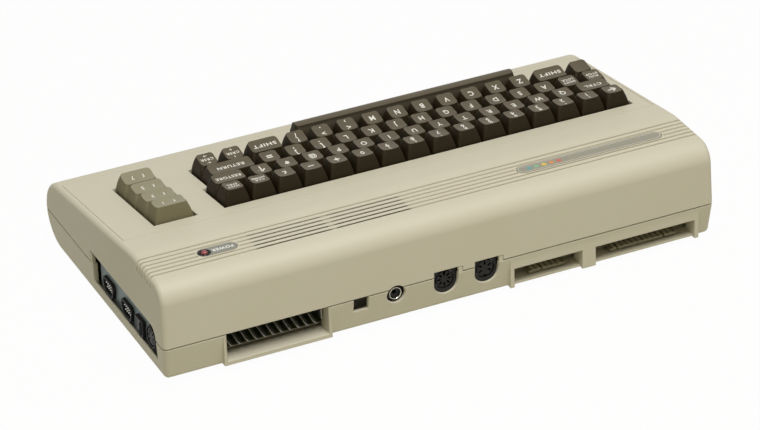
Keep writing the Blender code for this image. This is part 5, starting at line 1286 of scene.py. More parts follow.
# Plate, sockets and switch of the right side
PLATE_BACK = HALF_WIDTH - 4.9 * MM
PLATE_FACE = HALF_WIDTH - 4.1 * MM
PLATE_FRONT = -14.0 * MM
PLATE_REAR = 96.0 * MM
PLATE_BOTTOM = 7.9 * MM
PLATE_TOP = 43.0 * MM
BLOCK_BACK = HALF_WIDTH - 18.3 * MM
SEAT_HEIGHT = 10.9 * MM
PORT_CENTRES = (3.4 * MM, 36.4 * MM)
PORT_HEIGHT = 21.5 * MM
PORT_HALF_WIDTH = 10.3 * MM
PORT_HALF_TALL = 5.6 * MM
PORT_NARROWING = 3.0 * MM
PORT_CORNER = 2.8 * MM
PORT_WALL = 1.2 * MM
PORT_FACE = HALF_WIDTH - 1.8 * MM
PORT_FLOOR = PORT_FACE - 2.2 * MM
PIN_PITCH = 2.77 * MM
PIN_ROW_RISE = 1.42 * MM
PIN_RADIUS = 0.62 * MM
PIN_TIP = PORT_FLOOR + 1.2 * MM
SWITCH_CENTRE = 59.5 * MM
SWITCH_HEIGHT = 21.9 * MM
SWITCH_HALF_WIDTH = 6.4 * MM
SWITCH_HALF_TALL = 5.8 * MM
SWITCH_FRAME = 1.1 * MM
SWITCH_FACE = HALF_WIDTH - 1.6 * MM
POCKET_DEPTH = 8.0 * MM
ROCKER_SWING = math.radians(8)
ROCKER_DEPTH = 5.0 * MM
ROCKER_PROUD = 0.6 * MM
ROCKER_VALLEY = 1.0 * MM
ROCKER_PIVOT_DEPTH = SWITCH_FACE - (HALF_WIDTH - 4.4 * MM)
ROCKER_EDGE = 0.35 * MM
POWER_CENTRE = 80.0 * MM
POWER_HEIGHT = 24.8 * MM
POWER_RADIUS = 7.8 * MM
POWER_FACE = HALF_WIDTH - 1.8 * MM

# Round sockets: groove, disc and slots, alike in all three
GROOVE_OUTER = 6.9 * MM
DISC_RADIUS = 5.9 * MM
DISC_SET_BACK = 0.5 * MM
ROUND_GROOVE_DEPTH = 4.0 * MM
SLEEVE_RADIUS = 6.75 * MM
SLEEVE_WALL = 0.25 * MM
SLEEVE_SET_BACK = 2.6 * MM
SLOT_RING_RADIUS = 3.9 * MM
SLOT_LENGTH = 3.0 * MM
SLOT_WIDTH = 1.3 * MM
SLOT_DEPTH = 3.0 * MM
NOTCH_WIDTH = 2.2 * MM
DIN_FACE_FROM_WALL = 0.9 * MM
DIN_FILL_GAP = 0.25 * MM
DIN_BLOCK_HALF = 9.5 * MM
DIN_BLOCK_FRONT = 84.5 * MM
DIN_BLOCK_REAR = 94.6 * MM
DIN_SOCKET_HEIGHT = 24.6 * MM
VIDEO_ANGLES = (0, 45, 90, 135, 180, 225, 270, 315)
SERIAL_ANGLES = (30, 90, 150, 210, 330)
POWER_ANGLES = (0, 45, 90, 135, 180, 225, 315)


def d_outline(shrink):
    """Outline of a nine-pin port, wide side up, along Y and Z."""
    half, tall = PORT_HALF_WIDTH - shrink, PORT_HALF_TALL - shrink
    narrow = half - PORT_NARROWING
    return rounded([(half, tall), (-half, tall), (-narrow, -tall), (narrow, -tall)], PORT_CORNER - shrink / 2, 5)


def eased(form, points, low, high, axis, centre, ease=FINE_LIP):
    """A prism with a small rounded edge at its far end."""
    middle = Vector(centre)
    rings = []
    way = 1 if high > low else -1
    for shrink, reach in ((0, low), (0, high - way * ease), (ease * 0.3, high - way * ease * 0.3), (ease, high)):
        edge = spread(points, -shrink) if shrink else points
        rings.append([middle + stand(u, v, reach, axis) for u, v in edge])
    loft(form, rings)


def nine_pin_port(name, centre):
    """A nine-pin plug port: its block, its D-shaped shroud, and the pins that stand in it."""
    middle = (0, centre, PORT_HEIGHT)
    block, shroud, recess = bmesh.new(), bmesh.new(), bmesh.new()
    half = PORT_HALF_WIDTH + 1.0 * MM
    box(block, (BLOCK_BACK, centre - half, SEAT_HEIGHT),
        (PLATE_BACK - FIT_GAP, centre + half, PORT_HEIGHT + PORT_HALF_TALL + 1.0 * MM))
    eased(shroud, d_outline(0), PLATE_BACK - 1.0 * MM, PORT_FACE, "x", middle)
    lipped(recess, d_outline(PORT_WALL), PORT_FLOOR, PORT_FACE, "x", middle, FINE_LIP)
    mesh = carve(name, block, [("UNION", shroud), ("DIFFERENCE", recess)])
    add_piece(name + "_shroud", shade(mesh), [BLACK_PBT], stands_for=[name])
    pins = bmesh.new()
    for count, rise in ((5, PIN_ROW_RISE), (4, -PIN_ROW_RISE)):
        for index in range(count):
            place = (0, centre + (index - (count - 1) / 2) * PIN_PITCH, PORT_HEIGHT + rise)
            profile = ((PIN_RADIUS, PORT_FLOOR - PIN_RADIUS), (PIN_RADIUS, PIN_TIP - PIN_RADIUS),
                       (PIN_RADIUS * 0.8, PIN_TIP - PIN_RADIUS * 0.4), (PIN_RADIUS * 0.4, PIN_TIP))
            turned(pins, profile, 12, "x", place)
    add_piece(name + "_pins", shade(to_mesh(pins, name + "_pins"), 50), [PIN_TIN])


def rocker_switch():
    """The power switch: a framed pocket, and the slate rocker on its pivot."""
    middle = (0, SWITCH_CENTRE, SWITCH_HEIGHT)
    block, frame_form, pocket = bmesh.new(), bmesh.new(), bmesh.new()
    box(block, (BLOCK_BACK, SWITCH_CENTRE - SWITCH_HALF_WIDTH, SEAT_HEIGHT),
        (PLATE_BACK - FIT_GAP, SWITCH_CENTRE + SWITCH_HALF_WIDTH, SWITCH_HEIGHT + SWITCH_HALF_TALL))
    shape = rectangle(-SWITCH_HALF_WIDTH, -SWITCH_HALF_TALL, SWITCH_HALF_WIDTH, SWITCH_HALF_TALL)
    eased(frame_form, shape, PLATE_BACK - 1.0 * MM, SWITCH_FACE, "x", middle)
    lipped(pocket, spread(shape, -SWITCH_FRAME), SWITCH_FACE - POCKET_DEPTH, SWITCH_FACE, "x", middle, FINE_LIP)
    mesh = carve("power_switch", block, [("UNION", frame_form), ("DIFFERENCE", pocket)])
    add_piece("power_switch_frame", shade(mesh), [BLACK_PBT], stands_for=["power_switch"])

    reach_z = SWITCH_HALF_TALL - SWITCH_FRAME - FIT_GAP
    reach_y = SWITCH_HALF_WIDTH - SWITCH_FRAME - 2 * FIT_GAP - ROCKER_PIVOT_DEPTH * math.sin(ROCKER_SWING)
    under = reach_y * math.cos(ROCKER_SWING)
    points = [(-ROCKER_DEPTH, 0), (-ROCKER_DEPTH / 2, -under), (ROCKER_PROUD, -reach_y)]
    for step in range(1, ARC_STEPS):
        y = reach_y * (2 * step / ARC_STEPS - 1)
        points.append((ROCKER_PROUD - ROCKER_VALLEY * (1 - (y / reach_y) ** 2), y))
    points += [(ROCKER_PROUD, reach_y), (-ROCKER_DEPTH / 2, under)]
    form = bmesh.new()
    prism(form, [(x + ROCKER_PIVOT_DEPTH, y) for x, y in points], -reach_z, reach_z)
    edges = [e for e in form.edges if len(e.link_faces) == 2 and e.calc_face_angle() > math.radians(40)]
    bmesh.ops.bevel(form, geom=edges, offset=ROCKER_EDGE, segments=3, profile=0.5, affect="EDGES")
    form.transform(Matrix.Translation((SWITCH_FACE - ROCKER_PIVOT_DEPTH, SWITCH_CENTRE, SWITCH_HEIGHT))
                   @ Matrix.Rotation(-ROCKER_SWING, 4, "Z"))
    add_piece("rocker", shade(to_mesh(form, "rocker")), [SLATE_PBT], "power_rocker",
              ["power_rocker"])


def round_socket(name, body, axis, face, centre, angles, upside_down=False):
    """A round socket: groove round a slotted disc in its body, and a bright sleeve in the groove."""
    groove, slots = bmesh.new(), bmesh.new()
    floor = face - ROUND_GROOVE_DEPTH
    past = face + OVERRUN
    turned(groove, ((DISC_RADIUS, floor), (GROOVE_OUTER, floor), (GROOVE_OUTER, face - FINE_LIP),
                    (GROOVE_OUTER + FINE_LIP, face), (GROOVE_OUTER + FINE_LIP, past), (DISC_RADIUS, past)),
           56, axis, centre, True)
    trim = bmesh.new()
    prism(trim, circle(DISC_RADIUS + FINE_LIP, 56), face - DISC_SET_BACK, past, axis, centre)
    for angle in angles:
        turn = math.radians(angle)
        shape = []
        for along, across in stadium(SLOT_LENGTH, SLOT_WIDTH, 4):
            radial = SLOT_RING_RADIUS + along
            shape.append((radial * math.cos(turn) - across * math.sin(turn),
                          radial * math.sin(turn) + across * math.cos(turn)))
        prism(slots, shape, face - DISC_SET_BACK - SLOT_DEPTH, past, axis, centre)
    key = bmesh.new()
    half = NOTCH_WIDTH / 2
    reach = -1 if upside_down else 1
    ends = sorted((reach * (DISC_RADIUS - 1.2 * MM), reach * GROOVE_OUTER))
    prism(key, rectangle(-half, ends[0], half, ends[1]), floor, past, axis, centre)
    mesh = carve(name, body, [("DIFFERENCE", groove), ("DIFFERENCE", trim), ("DIFFERENCE", slots),
                              ("DIFFERENCE", key)])
    add_piece(name + "_body", shade(mesh), [SOCKET_PBT], stands_for=[name])
    sleeve = bmesh.new()
    inner = SLEEVE_RADIUS - SLEEVE_WALL
    turned(sleeve, ((inner, floor + 0.1 * MM), (SLEEVE_RADIUS, floor + 0.1 * MM),
                    (SLEEVE_RADIUS, face - SLEEVE_SET_BACK), (inner, face - SLEEVE_SET_BACK)), 56, axis, centre, True)
    add_piece(name + "_sleeve", shade(to_mesh(sleeve, name + "_sleeve")), [NICKEL])


def rear_sockets():
    """The two round sockets that fill their holes in the rear wall."""
    for name, centre, angles, down in (("video_socket", VIDEO_CENTRE, VIDEO_ANGLES, False),
                                       ("serial_socket", SERIAL_CENTRE, SERIAL_ANGLES, True)):
        face = wall_y(DIN_HEIGHT) - DIN_FACE_FROM_WALL - 1.6 * MM
        body, nose = bmesh.new(), bmesh.new()
        box(body, (centre - DIN_BLOCK_HALF, DIN_BLOCK_FRONT, SEAT_HEIGHT),
            (centre + DIN_BLOCK_HALF, DIN_BLOCK_REAR, DIN_HOLE_TOP - FIT_GAP))
        shape = spread(din_hole(centre), -DIN_FILL_GAP)
        prism(nose, shape, DIN_BLOCK_REAR - 1.0 * MM, face, "y")
        mesh = carve(name, body, [("UNION", nose)])
        form = bmesh.new()
        form.from_mesh(mesh)
        round_socket(name, form, "y", face, (centre, 0, DIN_SOCKET_HEIGHT), angles, down)


def power_socket():
    """The round power inlet of the side plate."""
    middle = (0, POWER_CENTRE, POWER_HEIGHT)
    block, nose = bmesh.new(), bmesh.new()
    half = POWER_RADIUS + 0.8 * MM
    box(block, (BLOCK_BACK, POWER_CENTRE - half, SEAT_HEIGHT),
        (PLATE_BACK - FIT_GAP, POWER_CENTRE + half, POWER_HEIGHT + half))
    eased(nose, circle(POWER_RADIUS, 56), PLATE_BACK - 1.0 * MM, POWER_FACE, "x", middle)
    mesh = carve("power_socket", block, [("UNION", nose)])
    form = bmesh.new()
    form.from_mesh(mesh)
    round_socket("power_socket", form, "x", POWER_FACE, middle, POWER_ANGLES)


def side_plate():
    """The zinc-plated sheet behind the side opening, pierced for each connector."""
    sheet, holes = bmesh.new(), bmesh.new()
    box(sheet, (PLATE_BACK, PLATE_FRONT, PLATE_BOTTOM), (PLATE_FACE, PLATE_REAR, PLATE_TOP))
    for centre in PORT_CENTRES:
        lipped(holes, d_outline(-FIT_GAP), PLATE_BACK - OVERRUN, PLATE_FACE, "x", (0, centre, PORT_HEIGHT), FINE_LIP)
    frame_shape = rectangle(-SWITCH_HALF_WIDTH, -SWITCH_HALF_TALL, SWITCH_HALF_WIDTH, SWITCH_HALF_TALL)
    lipped(holes, spread(frame_shape, FIT_GAP), PLATE_BACK - OVERRUN, PLATE_FACE, "x",
           (0, SWITCH_CENTRE, SWITCH_HEIGHT), FINE_LIP)
    lipped(holes, circle(POWER_RADIUS + FIT_GAP, 56), PLATE_BACK - OVERRUN, PLATE_FACE, "x",
           (0, POWER_CENTRE, POWER_HEIGHT), FINE_LIP)
    mesh = carve("side_plate", sheet, [("DIFFERENCE", holes)])
    add_piece("side_plate_sheet", shade(mesh), [ZINC_PLATE], stands_for=["side_plate"])


# Modulator can, aerial jack and channel selector
CAN_LEFT = 27.0 * MM
CAN_RIGHT = 74.5 * MM
CAN_FRONT = 54.4 * MM
CAN_REAR = 96.4 * MM
CAN_TOP = 29.9 * MM
LID_LAP = 4.0 * MM
LID_SHEET = 0.3 * MM
JACK_COLLAR_RADIUS = 5.9 * MM
JACK_RING_RADIUS = 4.5 * MM
JACK_RING_WALL = 0.7 * MM
JACK_BORE_RADIUS = 1.5 * MM
JACK_END = 105.9 * MM
SLIDER_X = 64.25 * MM
SLIDER_HEIGHT = 24.4 * MM
SLIDER_HALF = 1.7 * MM
SLIDER_TALL = 1.2 * MM
SLIDER_BACK = 5.7 * MM
SLIDER_REACH = 4.4 * MM
SLIDER_RIBS = 3
SELECTOR_MIDDLE = 62.45 * MM
SELECTOR_HALF = 4.0 * MM
SELECTOR_TALL = 1.5 * MM
SELECTOR_DEPTH = 6.0 * MM


def modulator():
    """The screened can with its folded lid and slot, the aerial jack in its collar, and the selector."""
    can, slot, lid = bmesh.new(), bmesh.new(), bmesh.new()
    box(can, (CAN_LEFT, CAN_FRONT, SEAT_HEIGHT), (CAN_RIGHT, CAN_REAR - LID_SHEET, CAN_TOP - LID_SHEET))
    box(lid, (CAN_LEFT - LID_SHEET, CAN_FRONT - LID_SHEET, CAN_TOP - LID_LAP),
        (CAN_RIGHT + LID_SHEET, CAN_REAR, CAN_TOP))
    box(slot, (SELECTOR_MIDDLE - SELECTOR_HALF, CAN_REAR - SELECTOR_DEPTH, SLIDER_HEIGHT - SELECTOR_TALL),
        (SELECTOR_MIDDLE + SELECTOR_HALF, CAN_REAR + OVERRUN, SLIDER_HEIGHT + SELECTOR_TALL))
    mesh = carve("rf_modulator", can, [("UNION", lid), ("DIFFERENCE", slot)])
    add_piece("modulator_can", shade(mesh), [TINNED_STEEL], stands_for=["rf_modulator"])
    place = (JACK_CENTRE, 0, JACK_HEIGHT)
    collar, core, ring = bmesh.new(), bmesh.new(), bmesh.new()
    inner = JACK_RING_RADIUS - JACK_RING_WALL
    turned(collar, ((JACK_RING_RADIUS + FINE_LIP, CAN_REAR + FINE_LIP), (JACK_COLLAR_RADIUS, CAN_REAR + FINE_LIP),
                    (JACK_COLLAR_RADIUS, JACK_END - 2.4 * MM), (JACK_COLLAR_RADIUS - 0.4 * MM, JACK_END - 2.0 * MM),
                    (JACK_RING_RADIUS + FINE_LIP, JACK_END - 2.0 * MM)), 48, "y", place, True)
    turned(core, ((JACK_BORE_RADIUS, CAN_REAR + FINE_LIP), (inner - FINE_LIP / 2, CAN_REAR + FINE_LIP),
                  (inner - FINE_LIP / 2, JACK_END - 2.2 * MM), (JACK_BORE_RADIUS + FINE_LIP, JACK_END - 2.2 * MM),
                  (JACK_BORE_RADIUS, JACK_END - 2.4 * MM)), 48, "y", place, True)
    turned(ring, ((inner, CAN_REAR + FINE_LIP), (JACK_RING_RADIUS, CAN_REAR + FINE_LIP),
                  (JACK_RING_RADIUS, JACK_END - 0.3 * MM), (JACK_RING_RADIUS - 0.2 * MM, JACK_END),
                  (inner + 0.2 * MM, JACK_END), (inner, JACK_END - 0.3 * MM)), 48, "y", place, True)
    add_piece("jack_collar", shade(to_mesh(collar, "jack_collar")), [BLACK_PBT])
    add_piece("jack_core", shade(to_mesh(core, "jack_core")), [BLACK_PBT])
    add_piece("jack_ring", shade(to_mesh(ring, "jack_ring")), [NICKEL])
    knob, grips = bmesh.new(), bmesh.new()
    place = (SLIDER_X, 0, SLIDER_HEIGHT)
    shape = rectangle(-SLIDER_HALF, -SLIDER_TALL, SLIDER_HALF, SLIDER_TALL)
    eased(knob, shape, CAN_REAR - SLIDER_BACK, CAN_REAR + SLIDER_REACH, "y", place, 0.3 * MM)
    rib = 0.2 * MM
    for index in range(SLIDER_RIBS):
        x = (index - (SLIDER_RIBS - 1) / 2) * SLIDER_HALF * 0.6
        prism(grips, rectangle(x - rib, -SLIDER_TALL - OVERRUN, x + rib, SLIDER_TALL + OVERRUN),
              CAN_REAR + SLIDER_REACH - rib, CAN_REAR + SLIDER_REACH + OVERRUN, "y", place)
    mesh = carve("channel_slider", knob, [("DIFFERENCE", grips)])
    add_piece("selector_knob", shade(mesh), [SLATE_PBT], "channel_slider", ["channel_slider"])


# Cartridge bay
FINGER_COUNT = 11
FINGER_PITCH = 6.0 * MM
FINGER_WIDTH = 2.6 * MM
FINGER_FOLD = 0.5 * MM
FINGER_FOLD_RISE = 0.9 * MM
FINGER_LEFT = 91.05 * MM
FINGER_START = 86.4 * MM
FINGER_END = 101.0 * MM
FINGER_FALL = 1.6 * MM
FINGER_STEPS = 10
SHIELD_BOTTOM = 16.2 * MM
SHIELD_TOP = 16.8 * MM
SHIELD_LEFT = 87.8 * MM
SHIELD_RIGHT = 153.65 * MM
SHIELD_FRONT = 68.0 * MM
SHIELD_REAR = 87.0 * MM
SHIELD_LEG = 5.0 * MM
FIN_TOP = 27.2 * MM
FIN_REAR = 100.0 * MM
FIN_SHEET = 0.6 * MM
CONNECTOR_CENTRE = 122.35 * MM
CONNECTOR_HALF = 33.0 * MM
CONNECTOR_FRONT = 42.0 * MM
CONNECTOR_REAR = 52.0 * MM
CONNECTOR_TOP = 25.9 * MM
CONNECTOR_SLOT_HALF = 28.75 * MM
CONNECTOR_SLOT_TALL = 1.5 * MM
CONNECTOR_SLOT_DEPTH = 7.5 * MM
CONNECTOR_CONTACTS = 22
CONNECTOR_PITCH = 2.54 * MM


def cartridge_shield():
    """The sprung earthing shield: a sheet on two legs, a row of folded fingers, and the fin at its end."""
    sheet = bmesh.new()
    box(sheet, (SHIELD_LEFT, SHIELD_FRONT, SHIELD_BOTTOM), (SHIELD_RIGHT, SHIELD_REAR, SHIELD_TOP))
    box(sheet, (SHIELD_LEFT, SHIELD_FRONT, SEAT_HEIGHT),
        (SHIELD_LEFT + FIN_SHEET, SHIELD_FRONT + SHIELD_LEG, SHIELD_TOP))
    box(sheet, (SHIELD_RIGHT - FIN_SHEET, SHIELD_FRONT, SEAT_HEIGHT),
        (SHIELD_RIGHT, SHIELD_FRONT + SHIELD_LEG, SHIELD_TOP))
    prism(sheet, rounded([(SHIELD_REAR - SHIELD_LEG, SHIELD_BOTTOM), (FIN_REAR, SHIELD_BOTTOM), (FIN_REAR, FIN_TOP),
                          (SHIELD_REAR - SHIELD_LEG, FIN_TOP)], 1.2 * MM, 5), SHIELD_LEFT, SHIELD_LEFT + FIN_SHEET, "x")
    add_piece("shield_sheet", shade(to_mesh(sheet, "shield_sheet")), [TINNED_STEEL],
              stands_for=["cartridge_shield"])
    finger, fold_form = bmesh.new(), bmesh.new()
    rings, edges = [], []
    for step in range(FINGER_STEPS + 1):
        part = step / FINGER_STEPS
        y = FINGER_START + (FINGER_END - FINGER_START) * part
        fall = FINGER_FALL * part ** 1.3
        curl = 0.5 * MM * max(0.0, part - 0.8) * 5
        low, high = SHIELD_BOTTOM - fall + curl, SHIELD_TOP - fall + curl
        narrow = 0.35 * MM * max(0.0, part - 0.85) / 0.15
        left, right = FINGER_LEFT + narrow, FINGER_LEFT + FINGER_WIDTH - narrow
        fold = FINGER_FOLD_RISE * min(1.0, part * 4) * (1 - max(0.0, part - 0.9) * 8)
        rings.append([(left, y, low), (right, y, low), (right, y, high), (left, y, high)])
        edges.append([(right - FINGER_FOLD, y, high - FIT_GAP / 2), (right, y, high - FIT_GAP / 2),
                      (right, y, high + fold * 0.8), (right - FINGER_FOLD / 2, y, high + fold),
                      (right - FINGER_FOLD, y, high + fold * 0.8)])
    loft(finger, rings)
    loft(fold_form, edges)
    mesh = row_of(finger, FINGER_COUNT, (FINGER_PITCH, 0, 0), SPRING_TIN)
    add_piece("shield_fingers", shade(mesh), [SPRING_TIN])
    # The folds get the near-white painted highlight of the fingers' tin.
    mesh = row_of(fold_form, FINGER_COUNT, (FINGER_PITCH, 0, 0), FOLD_PAINTED_HIGHLIGHT)
    add_piece("shield_finger_folds", shade(mesh, 50), [FOLD_PAINTED_HIGHLIGHT])
    block, slot = bmesh.new(), bmesh.new()
    box(block, (CONNECTOR_CENTRE - CONNECTOR_HALF, CONNECTOR_FRONT, SEAT_HEIGHT),
        (CONNECTOR_CENTRE + CONNECTOR_HALF, CONNECTOR_REAR, CONNECTOR_TOP))
    middle = (SEAT_HEIGHT + CONNECTOR_TOP) / 2
    lipped(slot, rectangle(CONNECTOR_CENTRE - CONNECTOR_SLOT_HALF, middle - CONNECTOR_SLOT_TALL,
                           CONNECTOR_CENTRE + CONNECTOR_SLOT_HALF, middle + CONNECTOR_SLOT_TALL),
           CONNECTOR_REAR - CONNECTOR_SLOT_DEPTH, CONNECTOR_REAR, "y")
    mesh = carve("cartridge_connector", block, [("DIFFERENCE", slot)])
    add_piece("connector_block", shade(mesh), [BLACK_PBT], stands_for=["cartridge_connector"])
    contact = bmesh.new()
    start = CONNECTOR_CENTRE - (CONNECTOR_CONTACTS - 1) / 2 * CONNECTOR_PITCH
    rear = CONNECTOR_REAR - 0.5 * MM
    box(contact, (start - 0.5 * MM, rear - 5.0 * MM, middle + CONNECTOR_SLOT_TALL - 0.5 * MM),
        (start + 0.5 * MM, rear, middle + CONNECTOR_SLOT_TALL + 0.1 * MM))
    mesh = row_of(contact, CONNECTOR_CONTACTS, (CONNECTOR_PITCH, 0, 0), NICKEL)
    add_piece("connector_contacts", mesh, [NICKEL])


# Card edges in their bays
CONTACT_PITCH = 3.96 * MM
CONTACT_WIDTH = 2.6 * MM
CONTACT_PROUD = 0.12 * MM
CONTACT_START = 92.0 * MM
CONTACT_END = 100.3 * MM
BOARD_TOP = 10.6 * MM
BOARD_BOTTOM = 9.0 * MM
CARD_EDGES = (("tape", -77.8 * MM, 6), ("user", -151.3 * MM, 12))


def card_contacts():
    """Rows of plated contacts on both faces of the two card edges."""
    for name, centre, count in CARD_EDGES:
        start = centre - (count - 1) * CONTACT_PITCH / 2
        for side, level, way in (("upper", BOARD_TOP, 1), ("lower", BOARD_BOTTOM, -1)):
            form = bmesh.new()
            half = CONTACT_WIDTH / 2
            shape = rectangle(start - half, CONTACT_START, start + half, CONTACT_END)
            eased(form, shape, level - way * 0.05 * MM, level + way * CONTACT_PROUD, "z", (0, 0, 0), CONTACT_PROUD)
            mesh = row_of(form, count, (CONTACT_PITCH, 0, 0), CONTACT_TIN)
            add_piece(f"{name}_contacts_{side}", mesh, [CONTACT_TIN])


# Badge, label and lamp of the ribbed strip
PLATE_BED = STRIP_HEIGHT - PLATE_RECESS + FIT_GAP / 3
DOT_RADIUS = 1.9 * MM
DOT_PITCH = 5.6 * MM
DOT_FROM_END = 9.0 * MM
BORDER_INSET = 0.9 * MM
BORDER_WIDTH = 0.25 * MM
INK_PROUD = 0.05 * MM
LABEL_WORD = "POWER"
LABEL_WORD_WIDTH = 15.0 * MM
LABEL_WORD_HEIGHT = 2.9 * MM
LABEL_WORD_WEIGHT = 0.025
LABEL_WORD_SHIFT = -3.6 * MM


def strip_plate(centre, length):
    """A thin lacquered plate with half-round ends and a rounded edge, in its recess."""
    form = bmesh.new()
    eased(form, stadium(length, PLATE_WIDTH, ARC_STEPS), PLATE_BED, PLATE_BED + PLATE_THICKNESS, "z",
          (centre, STRIP_MIDDLE, 0))
    return form


def badge_and_label():
    """The badge with a border and five printed dots, and the grey label with its word."""
    top = PLATE_BED + PLATE_THICKNESS
    form = strip_plate(BADGE_CENTRE, BADGE_LENGTH)
    add_piece("badge_plate_face", shade(to_mesh(form, "badge_plate_face")), [BADGE_GREY],
              stands_for=["badge_plate"])
    border = bmesh.new()
    rings = []
    for shrink, height in ((BORDER_INSET, top - INK_PROUD), (BORDER_INSET + BORDER_WIDTH, top - INK_PROUD),
                           (BORDER_INSET + BORDER_WIDTH, top + INK_PROUD), (BORDER_INSET, top + INK_PROUD)):
        edge = spread(stadium(BADGE_LENGTH, PLATE_WIDTH, ARC_STEPS), -shrink)
        rings.append([Vector((BADGE_CENTRE + x, STRIP_MIDDLE + y, height)) for x, y in edge])
    loops = loft(border, rings, False, False)
    count = len(loops[0])
    for index in range(count):
        after = (index + 1) % count
        border.faces.new((loops[-1][index], loops[-1][after], loops[0][after], loops[0][index]))
    add_piece("badge_border", to_mesh(border, "badge_border"), [WHITE_INK])
    for index, ink in enumerate(DOT_INKS):
        dot = bmesh.new()
        x = BADGE_CENTRE + BADGE_LENGTH / 2 - DOT_FROM_END - index * DOT_PITCH
        eased(dot, circle(DOT_RADIUS, 32), top - INK_PROUD, top + INK_PROUD, "z", (x, STRIP_MIDDLE, 0), INK_PROUD)
        add_piece(f"badge_dot_{index + 1}", to_mesh(dot, "badge_dot"), [ink])
    label, hole = strip_plate(LABEL_CENTRE, LABEL_LENGTH), bmesh.new()
    prism(hole, circle(BEZEL_RADIUS + FIT_GAP / 2, 48), PLATE_BED - OVERRUN, top + OVERRUN,
          centre=(LAMP_X, STRIP_MIDDLE, 0))
    mesh = carve("power_label", label, [("DIFFERENCE", hole)])
    add_piece("power_label", shade(mesh), [LABEL_GREY])
    word = text_form(LABEL_WORD, LABEL_WORD_WIDTH, LABEL_WORD_HEIGHT, LABEL_WORD_WEIGHT)
    for vertex in word.verts:
        lift = INK_PROUD if vertex.co.z > 0 else -INK_PROUD
        vertex.co = (LABEL_CENTRE + LABEL_WORD_SHIFT + vertex.co.x, STRIP_MIDDLE + vertex.co.y, top + lift)
    add_piece("power_word", to_mesh(word, "power_word"), [WHITE_INK])


def lamp():
    """The glossy bezel and the red dome of the power lamp."""
    place = (LAMP_X, STRIP_MIDDLE, 0)
    bed = PLATE_BED
    bezel, lens = bmesh.new(), bmesh.new()
    inner = LAMP_RADIUS + FIT_GAP
    turned(bezel, ((inner, bed - 5.5 * MM), (BEZEL_TUBE, bed - 5.5 * MM), (BEZEL_TUBE, bed), (BEZEL_RADIUS, bed),
                   (BEZEL_RADIUS, bed + 0.5 * MM), (BEZEL_RADIUS - 0.25 * MM, bed + 0.9 * MM),
                   (BEZEL_RADIUS - 0.7 * MM, bed + 1.25 * MM), (inner + 0.25 * MM, bed + 1.2 * MM),
                   (inner, bed + 0.9 * MM)), 48, "z", place, True)
    add_piece("lamp_bezel", shade(to_mesh(bezel, "lamp_bezel")), [GLOSS_BLACK],
              stands_for=["led_bezel"])
    profile = [(LAMP_RADIUS, bed - 6.0 * MM), (LAMP_RADIUS, bed + LAMP_HEIGHT - LAMP_RADIUS)]
    for step in range(1, 8):
        turn = math.pi / 2 * step / 8
        profile.append((LAMP_RADIUS * math.cos(turn), bed + LAMP_HEIGHT - LAMP_RADIUS + LAMP_RADIUS * math.sin(turn)))
    profile.append((LAMP_RADIUS * 0.06, bed + LAMP_HEIGHT))
    turned(lens, profile, 40, "z", place)
    add_piece("lamp_lens", shade(to_mesh(lens, "lamp_lens"), 60), [LAMP_RED], stands_for=["power_led"])


# Feet and the screws of the floor
FOOT_PLACES = ((-176 * MM, 78 * MM), (176 * MM, 78 * MM), (-176 * MM, -66 * MM), (176 * MM, -66 * MM))
FOOT_RADIUS = 8.5 * MM
SCREW_PLACES = ((-120 * MM, -84 * MM), (0, -84 * MM), (120 * MM, -84 * MM))
SCREW_RADIUS = 3.0 * MM
SCREW_WELL = 4.2 * MM
SCREW_WELL_DEPTH = 1.4 * MM
SCREW_CROSS = 0.5 * MM


def feet_and_screws():
    """Four rubber feet, and the cross-head screws in their wells."""
    feet, screws = bmesh.new(), bmesh.new()
    slots = (bmesh.new(), bmesh.new())
    for x, y in FOOT_PLACES:
        turned(feet, ((FOOT_RADIUS - 1.4 * MM, 0), (FOOT_RADIUS - 0.9 * MM, 0.12 * MM),
                      (FOOT_RADIUS - 0.35 * MM, 0.5 * MM), (FOOT_RADIUS, 1.3 * MM),
                      (FOOT_RADIUS, FOOT_HEIGHT)), 48, "z", (x, y, 0))
    add_piece("rubber_feet", shade(to_mesh(feet, "rubber_feet")), [FOOT_RUBBER])
    floor = FOOT_HEIGHT + SCREW_WELL_DEPTH
    for x, y in SCREW_PLACES:
        turned(screws, ((SCREW_RADIUS * 0.7, floor - 1.0 * MM), (SCREW_RADIUS * 0.95, floor - 0.6 * MM),
                        (SCREW_RADIUS, floor - 0.1 * MM)), 32, "z", (x, y, 0))
        for slot, shape in zip(slots, (rectangle(-SCREW_RADIUS * 0.6, -SCREW_CROSS, SCREW_RADIUS * 0.6, SCREW_CROSS),
                                       rectangle(-SCREW_CROSS, -SCREW_RADIUS * 0.6, SCREW_CROSS, SCREW_RADIUS * 0.6))):
            prism(slot, shape, floor - OVERRUN, floor - 0.4 * MM, centre=(x, y, 0))
    mesh = carve("floor_screws", screws, [("DIFFERENCE", slot) for slot in slots])
    add_piece("floor_screws", shade(mesh), [ZINC_SCREW])


